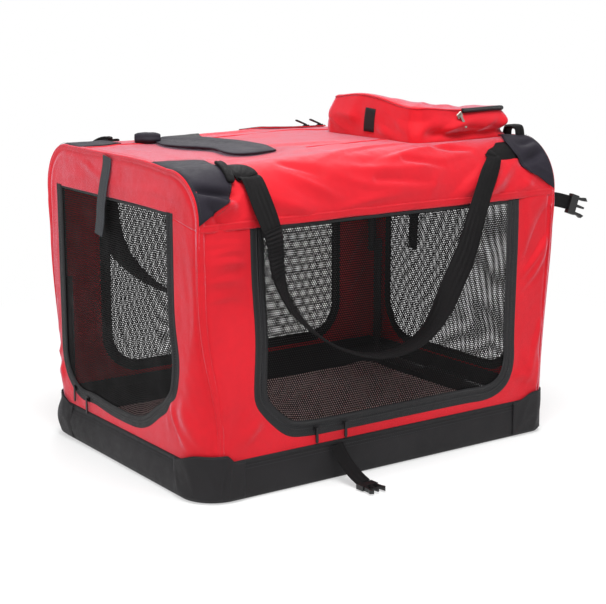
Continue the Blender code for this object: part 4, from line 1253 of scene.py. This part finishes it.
def carry_strap(name, side, body, node):
    """The loop that hangs between the two sewn ends."""
    ends = []
    for end, turn in TURNS.items():
        angle = math.radians(turn["last"])
        half = turn["width"] / 2 + 0.0012
        for ahead, lift in ((-0.004, 0.0032), (0.008, 0.0056)):
            x = turn["x"] - end * (half * math.sin(angle) + ahead * math.cos(angle))
            s = turn["s"] - half * math.cos(angle) + ahead * math.sin(angle)
            p = top_point(x, side * s, lift)
            ends.append((x, abs(p.y) - HALF_Y, p.z, 0))
    run = smooth_curve(ends[:2] + STRAP_RUN + [ends[3], ends[2]], 10)
    points, across = [], []
    for i, (x, out, z, lean) in enumerate(run):
        before, after = run[max(i - 1, 0)], run[min(i + 1, len(run) - 1)]
        rise = max(z - HEM_Z, 0) / SHOULDER_R * 1.4
        level = Vector((after[2] - before[2], 0, before[0] - after[0])).normalized()
        level = level.lerp(Vector((math.copysign(1, level.x), 0, 0)), min(rise, 1))
        a = math.radians(lean)
        points.append(Vector((x, side * (HALF_Y + out), z)))
        across.append(level * math.cos(a) + Vector((0, side * math.sin(a), 0)))
    run = lengths(points)
    slim = TURNS[1]["width"] / STRAP_WIDTH
    narrow = [slim + (1 - slim) * smoothstep(0.006, 0.060, run[-1] - r) for r in run]
    strap = webbing(name, points, across, STRAP_WIDTH, 0.0017, WEB, narrow)
    settle(strap, "webbing", body, STRAP_FOLD, node)
    adjuster(name + "_adjuster", points, across, body)


def adjuster(name, points, across, body):
    """The webbing's turned-back end, drawn up in close ridges like a ladder."""
    start = next(i for i, p in enumerate(points) if p.z < 0.424)
    run = resample(points[start : start + 13], 60)
    rows = []
    for i, p in enumerate(run):
        along = heading(run, i)
        side = upright_to(along, across[start + i // 5])
        out = along.cross(side).normalized()
        if out.y * p.y < 0:
            out = -out
        height = 0.0026 + 0.0008 * math.sin(math.tau * i / 5)
        heights = [0.0010] + 7 * [height] + [0.0010]
        rows.append([p + side * STRAP_WIDTH * (k / 8 - 0.5) + out * h for k, h in enumerate(heights)])
    settle(grid(name, rows, WEB, 0.0012), "webbing", body, STRAP_FOLD)


def keeper(name, side):
    """A folded loop of webbing, rounded at both ends, which the strap's left end comes out of."""
    path = []
    for i in range(31):
        s = side * (SHOULDER_Y + 0.008 + 0.058 * i / 30)
        path.append(top_point(-0.2745 - 0.0130 * i / 30, s, 0.0042))
    rows = []
    for i, (point, _, across, out) in enumerate(frames(path, out_of_tunnel)):
        room = math.sqrt(max(1 - (2 * i / 30 - 1) ** 8, 0))
        row = []
        for k in range(20):
            c, s = math.cos(math.tau * k / 20), math.sin(math.tau * k / 20)
            wide = 0.0070 * (0.55 + 0.45 * room) * squared(c, 0.6)
            tall = (0.0022 + 0.0014 * room) * squared(s, 0.7)
            tall -= 0.0010 * math.exp(-((c / 0.16) ** 2)) * max(s, 0)
            row.append(point + across * wide + out * (0.0014 + tall))
        rows.append(row)
    whole(closed_grid(name, rows, WEB), "webbing", "roof")


def straps():
    """On each side the two sewn ends, the keeper at the left one, and the loop between them."""
    for side_name, side in SIDES:
        for end_name, end in ENDS:
            place = f"{side_name}_{end_name}"
            strap_turn(place + "_strap_turn", end, side, "strap_end_" + place)
            if end < 0:
                keeper(place + "_keeper", side)
        carry_strap(side_name + "_strap_web", side, side_name + "_strap", side_name + "_carry_strap")


def roll_strap(name, end, y, drop, node):
    """A strap for a rolled-up door, hanging down over the end from the roof's edge."""
    sway = [(0, 0), (0.12, 0), (0.35, 0.004), (0.60, 0.007), (0.80, 0.007), (1.0, 0.009)]
    wall, top = HALF_X + 0.0042, HEIGHT + 0.0015
    points = smooth_curve([(end * (wall + out), y + 0.02 * d, top - drop * d) for d, out in sway], 8)
    across = [Vector((0, 1, 0.02 * math.sin(i / 5))) for i in range(len(points))]
    made = webbing(name + "_web", points, across, ROLL_STRAP_WIDTH, 0.0016, GREY_WEB)
    settle(made, "patch_cloth", name, (HEIGHT - 0.004, 0.45), node)
    lengths(points)[-1]


def tether(name, points, across, thick):
    """A short sewn strap that swings with its buckle."""
    made = webbing(name + "_web", points, across, TETHER_WIDTH, thick, WEB)
    whole(made, "webbing", name, name + "_strap")
    lengths(points)[-1]


def tethers():
    """One hangs from the foot of the front wall, and one stands out of the right front corner."""
    x, y, z = -0.107, -HALF_Y - 0.0018, BASE_H - 0.006
    reach = TETHER_REACH
    shares = [(0.0, 0.024), (0.161, 0.097), (0.452, 0.355), (0.677, 0.677), (0.806, 1.0)]
    points = [(x + 0.22 * d * reach, y - o * reach - 0.004 * (1 - d), z - d * reach) for d, o in shares]
    points = smooth_curve(points, 6)
    run = points[-1] - points[0]
    across = [Vector((-run.z, 0, run.x)).normalized()] * len(points)
    tether("front_tether", points, across, 0.0016)
    x, y, z = HALF_X + 0.0003, -HALF_Y + 0.015, HEM_Z - 0.0115
    shares = [(0.0, 0.0), (0.16, -0.01), (0.48, 0.03), (1.0, 0.16)]
    points = smooth_curve([(x + o * reach, y, z - d * reach) for o, d in shares], 8)
    tether("right_tether", points, [(0, 0, 1)] * len(points), 0.0020)


def roof_loop():
    """The loop of webbing between the pouch and the roof's right end."""
    x, y, half = HALF_X - 0.0125, -SHOULDER_Y - 0.001, 0.0165
    rise = [(-1.0, 0.0), (-0.94, 0.50), (-0.80, 0.88), (-0.45, 1.0), (0.0, 1.0)]
    rise += [(0.45, 0.97), (0.80, 0.84), (0.98, 0.40), (1.0, 0.0)]
    foot = roof_z(x, y) + 0.0010
    points = smooth_curve([(x, y + half * d, foot + half * h) for d, h in rise], 6)
    made = webbing("roof_loop_web", points, [(1, 0, 0)] * len(points), 0.021, 0.0072, WEB)
    whole(made, "webbing", "roof", "roof_loop")


# Pouch


def pouch_outline(inset, count):
    """The pouch's outline from above, with rounded corners."""
    r = POUCH_CORNER - inset
    points = []
    for turn, (sx, sy) in enumerate(((1, 1), (-1, 1), (-1, -1), (1, -1))):
        x = POUCH_MIDDLE.x + sx * (POUCH_HALF.x - inset - r)
        y = POUCH_MIDDLE.y + sy * (POUCH_HALF.y - inset - r)
        points += arc((x, y), r, 90 * turn, 90 * turn + 90, 8)
    return resample(points + points[:1], count)[:-1]


def pouch_height(x, y):
    """The pouch's upper edge: a hump on the left, slumped at the right rear, held up at the front."""
    front = 1 - smoothstep(POUCH_Y[0], POUCH_Y[0] + 0.10, y)
    right = smoothstep(POUCH_X[0] + 0.015, POUCH_X[0] + 0.115, x)
    tall = 0.062 * (1 - right) + 0.047 * right
    tall += 0.012 * blob(x, y, (0.115, -0.012), (0.070, 0.085))
    return tall * (1 - front) + (0.059 - 0.006 * right) * front


def leant(p, t):
    """A point of the pouch's outline drawn in by the lean of its sides, t of the way up."""
    shrink = [1 - POUCH_LEAN * t / half for half in POUCH_HALF]
    return POUCH_MIDDLE + Vector(((p.x - POUCH_MIDDLE.x) * shrink[0], (p.y - POUCH_MIDDLE.y) * shrink[1]))


def pouch_top(p, lift):
    """A point on the pouch's upper face, for a point of its outline or inside it."""
    at = leant(p, 1)
    return Vector((at.x, at.y, roof_z(p.x, p.y) + pouch_height(p.x, p.y) + lift))


def pouch_calm(p):
    """The pouch's side stays flat behind its tab."""
    by_tab = max(abs(p.x - POUCH_X[0]) - 0.006, abs(p.y - POUCH_MIDDLE.y) - 0.020)
    return smoothstep(0.0, 0.03, by_tab)


def pouch_side(p, t, lift=0.0):
    """A point on the pouch's side, t of the way up over a point of its outline."""
    tall = pouch_height(p.x, p.y) - 0.0030
    belly = math.sin(math.pi * t)
    bulge = 0.0028 * belly - 0.0014 + lift
    bulge += 0.0120 * belly * ridge(p.x + 0.7 * p.y, tall * t, 28, 0.046, 3, 91) * pouch_calm(p)
    foot_crease = blob(t, 0, (0.24, 0), (0.13, 1)) * smoothstep(0.125, 0.165, p.x)
    bulge -= 0.0100 * foot_crease * (1 - smoothstep(POUCH_Y[0], POUCH_Y[0] + 0.05, p.y))
    bulge += 0.0035 * blob(t, 0, (0.58, 0), (0.20, 1)) * smoothstep(0.135, 0.175, p.x)
    bulge -= 0.006 * blob(p.x, p.y, (POUCH_X[0], POUCH_Y[0]), (0.030, 0.030)) * belly
    foot = roof_z(p.x, p.y) - 0.0006
    at = leant(p, t) + (p - POUCH_MIDDLE).normalized() * bulge
    return Vector((at.x, at.y, foot + (tall + 0.0006) * t))


def pouch_sides():
    """The pouch's slack sides."""
    rows = [[pouch_side(p, k / 32) for p in pouch_outline(0.0, 280)] for k in range(33)]
    made = grid("pouch_sides", rows, RED, CLOTH_THICK, closed=True)
    whole(made, "red_cloth", "roof", "pouch_body")


def pouch_cover():
    """The pouch's upper face, a little puffed."""

    def at(t, s):
        u, v = 2 * s - 1, 2 * t - 1
        p = POUCH_MIDDLE + Vector(rounded_plan(u, v, POUCH_HALF.x, POUCH_HALF.y, POUCH_CORNER))
        edge = min(1 - abs(u), 1 - abs(v))
        puff = 0.0075 * smoothstep(0, 0.25, edge) * ridge(p.x, p.y, 25, 0.075, 3, 7)
        dome = 0.0008 - 0.0026 * (1 - smoothstep(0, 0.05, edge))
        return pouch_top(p, dome + puff)

    lid = grid("pouch_cover", lattice(72, 64, at), RED, CLOTH_THICK)
    whole(lid, "red_cloth", "pouch_flap", "pouch_lid")


def pouch_zip():
    """The zip under the cover's edge, along the front and round to the right."""
    line = pouch_outline(-0.0012, 240)
    start = next(i for i, p in enumerate(line) if p.y < POUCH_Y[0] + 0.001 and p.x > 0.222)
    path = [pouch_top(p, -0.0030) for p in line[start : start + 38]]

    def away(p):
        return Vector((0, -1, 0)) if p.y < POUCH_Y[0] + POUCH_LEAN + 0.010 else Vector((1, 0, 0))

    whole(sweep("pouch_zip_tape", path, away, round_profile(0.0042, 12), TAPE), "binding", "roof")
    whole(teeth("pouch_zip_coil", [p + away(p) * 0.0040 for p in path], away), "binding", "roof")


def pouch_tab():
    """The tab of loops on the pouch's left side."""

    def at(t, u):
        return pouch_side(Vector((POUCH_X[0], -0.058 + 0.028 * u)), 0.15 + 0.58 * t, 0.0016)

    whole(grid("hook_tab", lattice(8, 8, at), BLACK, 0.0012, 1), "webbing", "roof", "pouch_tab")


# Grip and roof zip

ROOF_ZIP_LENGTH = 0.190
ROOF_ZIP_ANGLE = 17  # degrees down the rear shoulder

# The grip's two edges, from the front to the rear
GRIP_LEFT = [
    (-0.133, -0.121),
    (-0.183, -0.135),
    (-0.218, -0.110),
    (-0.203, -0.034),
    (-0.224, 0.020),
    (-0.231, 0.070),
    (-0.216, 0.128),
]
GRIP_RIGHT = [
    (-0.129, -0.118),
    (-0.119, -0.085),
    (-0.114, -0.056),
    (-0.112, 0.000),
    (-0.114, 0.050),
    (-0.128, 0.115),
    (-0.174, 0.168),
]


def grip():
    """A padded grip, pointed in front and narrowing to the rear."""
    left, right = [smooth_curve([(x, y, 0) for x, y in edge], 8) for edge in (GRIP_LEFT, GRIP_RIGHT)]
    last = len(left) - 1

    def at(t, u):
        c, s = math.cos(math.tau * u), math.sin(math.tau * u)
        arch = 0.0016 * math.sin(math.pi * min(t * 1.05, 1)) ** 1.2
        thick = 0.0020 + 0.0052 * math.sin(math.pi * min(max(t, 0.03), 0.90)) ** 0.6
        across = 0.5 + 0.5 * squared(c, 0.75)
        x, y, _ = left[round(last * t)].lerp(right[round(last * t)], across)
        valley = 0.0024 * blob(across, 0, (0.55, 0), (0.12, 1)) * max(s, 0) * smoothstep(0.1, 0.3, t)
        fine = 0.0012 * crease(x, y, 76, 0.03, 5, 17)
        return above_roof(x, y, 0.0012 + arch + thick / 2 * (1 + squared(s, 0.6)) - valley + fine)

    made = closed_grid("grip", lattice(last, 40, at, closed=True), GREY)
    whole(made, "patch_cloth", "roof", "top_handle")


def grip_roll():
    """The rolled loop of cloth across the grip's rear end."""
    middle = above_roof(-0.226, 0.132, 0.0088)
    along = Vector((0.90, -0.43, 0)).normalized()
    level = Vector((-along.y, along.x, 0)) * 1.5

    def at(t, u):
        far, turn = 2 * t - 1, math.tau * u
        c, s = math.cos(turn), math.sin(turn)
        swell = 1 + 0.08 * noise.noise(Vector((far * 2, c, s)))
        swell -= 0.14 * abs(math.sin(1.5 * turn + 0.5)) ** 8
        r = 0.0104 * (1 - abs(far) ** 4 * 0.35)
        return middle + along * 0.022 * far + (level * c + Vector((0, 0, s))) * r * swell

    whole(closed_grid("grip_roll", lattice(24, 36, at, closed=True), GREY), "patch_cloth", "roof")


def grip_tongue():
    """A thin tongue of cloth that lies behind the grip."""

    def at(t, u):
        a = Vector((-0.165 + 0.080 * t, 0.182 + 0.030 * t))
        b = Vector((-0.176 + 0.064 * t, 0.166 - 0.028 * t))
        x, y = a.lerp(b, u)
        return above_roof(x, y, 0.0014 + 0.002 * math.sin(math.pi * u) * (1 - t))

    whole(grid("grip_tongue", lattice(12, 8, at), BLACK, 0.0012), "patch_cloth", "roof")


def roof_zip():
    """The closed zip and its flap, lengthways on the rear shoulder."""
    s = SHOULDER_Y + math.radians(ROOF_ZIP_ANGLE) * SHOULDER_R

    def line(lift):
        return [top_point(ROOF_ZIP_LENGTH * i / 80, s, lift) for i in range(81)]

    profile = flat_profile(0.012, 0.0014, 0, 0.0005)
    on_roof(sweep("roof_zip_flap", line(0.0007), out_of_tunnel, profile, RED), "red_cloth", "roof_zip")
    on_roof(teeth("roof_zip_coil", line(0.0022), out_of_tunnel), "binding")


# Pieces carried over from the model


def lifted(node, slot, body, move, material, lean=0.0, grow=1.0):
    """A carried-over piece moved with the cloth it is sewn to, and leant over about its top."""
    source = NODES[node]
    low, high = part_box(node)
    top = Vector(((low.x + high.x) / 2, (low.y + high.y) / 2, high.z))
    mesh = source.data.copy()
    mesh.transform(source.matrix_world)
    turn = Matrix.Rotation(math.radians(lean), 4, "Y") @ Matrix.Scale(grow, 4)
    mesh.transform(Matrix.Translation(top + move) @ turn @ Matrix.Translation(-top))
    mesh.materials.clear()
    mesh.materials.append(material)
    made = bpy.data.objects.new(node + "_raised", mesh)
    bpy.context.scene.collection.objects.link(made)
    whole(made, slot, body, node)


def carried_over():
    """The model's own pieces that stay get their finished materials, and four move with the cloth."""
    finish = {"tube_paint": PAINT, "nylon": NYLON, "zip_metal": METAL}
    slots = {row["node"]: row["material_slot"] for row in frame["record"]["subparts"]}
    for name, node in NODES.items():
        if slots.get(name) in finish:
            for slot in node.material_slots:
                slot.material = finish[slots[name]]
    for name in ("roof_slider_left", "roof_slider_right"):
        up = Vector((0, 0, raised(0.12, 0.19) + 0.0035))
        lifted(name, "zip_metal", name.replace("slider", "zip"), up, METAL)
    low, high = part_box("pouch_slider")
    level = HEIGHT + raised(high.x, low.y) + pouch_height(high.x, POUCH_Y[0]) - 0.005
    move = Vector((-0.008, POUCH_LEAN - 0.0075, level - high.z))
    lifted("pouch_slider", "zip_metal", "pouch_zip", move, BRASS, -32)
    lifted("right_buckle", "nylon", "right_tether", Vector((0, 0, 0.0082)), NYLON, 0, 1.10)


# Camera, floor and light


def camera():
    """The camera that the main picture is seen with."""
    view = bpy.data.cameras.new("camera")
    view.lens = 85.84
    view.sensor_width = 36.0
    view.clip_end = 20
    made = bpy.data.objects.new("camera", view)
    made.location = (-1.4296, -2.0487, 0.7721)
    made.rotation_euler = (math.radians(77.87), 0, math.radians(-35.03))
    bpy.context.scene.collection.objects.link(made)
    bpy.context.scene.camera = made


def floor():
    """A pale floor, seen as plain white away from the cage."""
    n = Nodes("floor")
    n.fix({"Base Color": (0.93, 0.93, 0.93, 1), "Roughness": 0.9, "Specular IOR Level": 0.0})
    rays = n.add("ShaderNodeLightPath").outputs
    seen = n.maths("MAXIMUM", rays["Is Camera Ray"], rays["Is Glossy Ray"])
    away = n.add("ShaderNodeVectorMath", {0: n.place()}, operation="LENGTH").outputs["Value"]
    share = n.maths("MULTIPLY", seen, n.span(away, 0.5, 1.0, 0.5, 1.3))
    glow = n.add("ShaderNodeEmission", {"Strength": 1.0})
    mixed = n.add("ShaderNodeMixShader", {0: share, 1: n.shader.outputs[0], 2: glow.outputs[0]})
    n.tree.links.new(mixed.outputs[0], n.tree.nodes["Material Output"].inputs["Surface"])
    verts = [Vector((x, y, -0.0006)) for x, y in ((-9, -9), (9, -9), (9, 9), (-9, 9))]
    mesh_object("floor", verts, [(0, 1, 2, 3)], n.material, smooth=False)


def surroundings():
    """White all round, dimmer in its light than to the camera."""
    world = bpy.data.worlds.new("studio")
    bpy.context.scene.world = world
    world.use_nodes = True
    tree = world.node_tree
    back = tree.nodes["Background"]
    back.inputs["Color"].default_value = (1, 1, 1, 1)
    path = tree.nodes.new("ShaderNodeLightPath")
    seen = tree.nodes.new("ShaderNodeMath")
    seen.operation = "MAXIMUM"
    tree.links.new(path.outputs["Is Camera Ray"], seen.inputs[0])
    tree.links.new(path.outputs["Is Transmission Ray"], seen.inputs[1])
    level = tree.nodes.new("ShaderNodeMapRange")
    level.inputs["To Min"].default_value = 0.55
    level.inputs["To Max"].default_value = 1.0
    tree.links.new(seen.outputs[0], level.inputs["Value"])
    tree.links.new(level.outputs["Result"], back.inputs["Strength"])


def lamps():
    """Three round lamps: name, place, power and the height they aim at."""
    listed = (
        ("key", (-0.45, -0.9, 2.45), 56, 0.3),
        ("fill", (-2.4, -0.6, 1.3), 10, 0.25),
        ("rim", (0.9, 1.5, 2.1), 22, 0.4),
    )
    for name, at, power, aim in listed:
        light = bpy.data.lights.new(name, "AREA")
        light.shape = "DISK"
        light.size = 1.4
        light.energy = power
        lamp = bpy.data.objects.new(name, light)
        lamp.location = at
        lamp.rotation_euler = (Vector((0, 0, aim)) - Vector(at)).to_track_quat("-Z", "Y").to_euler()
        bpy.context.scene.collection.objects.link(lamp)


camera()
floor()
surroundings()
lamps()
bpy.context.scene.view_settings.view_transform = "Standard"
roof_cloth()
long_wall("front_wall", -1, "front_panel")
long_wall("rear_wall", 1, "rear_panel")
end_wall("left_wall", -1, "left_panel")
end_wall("right_wall", 1, "right_panel")
openings()
end_seams()
roof_seams()
base()
mat()
patches()
straps()
roll_strap("left_roll", -1, 0.022, 0.128, "left_roll_strap")
roll_strap("right_roll", 1, 0.120, 0.240, "right_roll_strap")
tethers()
roof_loop()
pouch_sides()
pouch_cover()
pouch_zip()
pouch_tab()
grip()
grip_roll()
grip_tongue()
roof_zip()
carried_over()
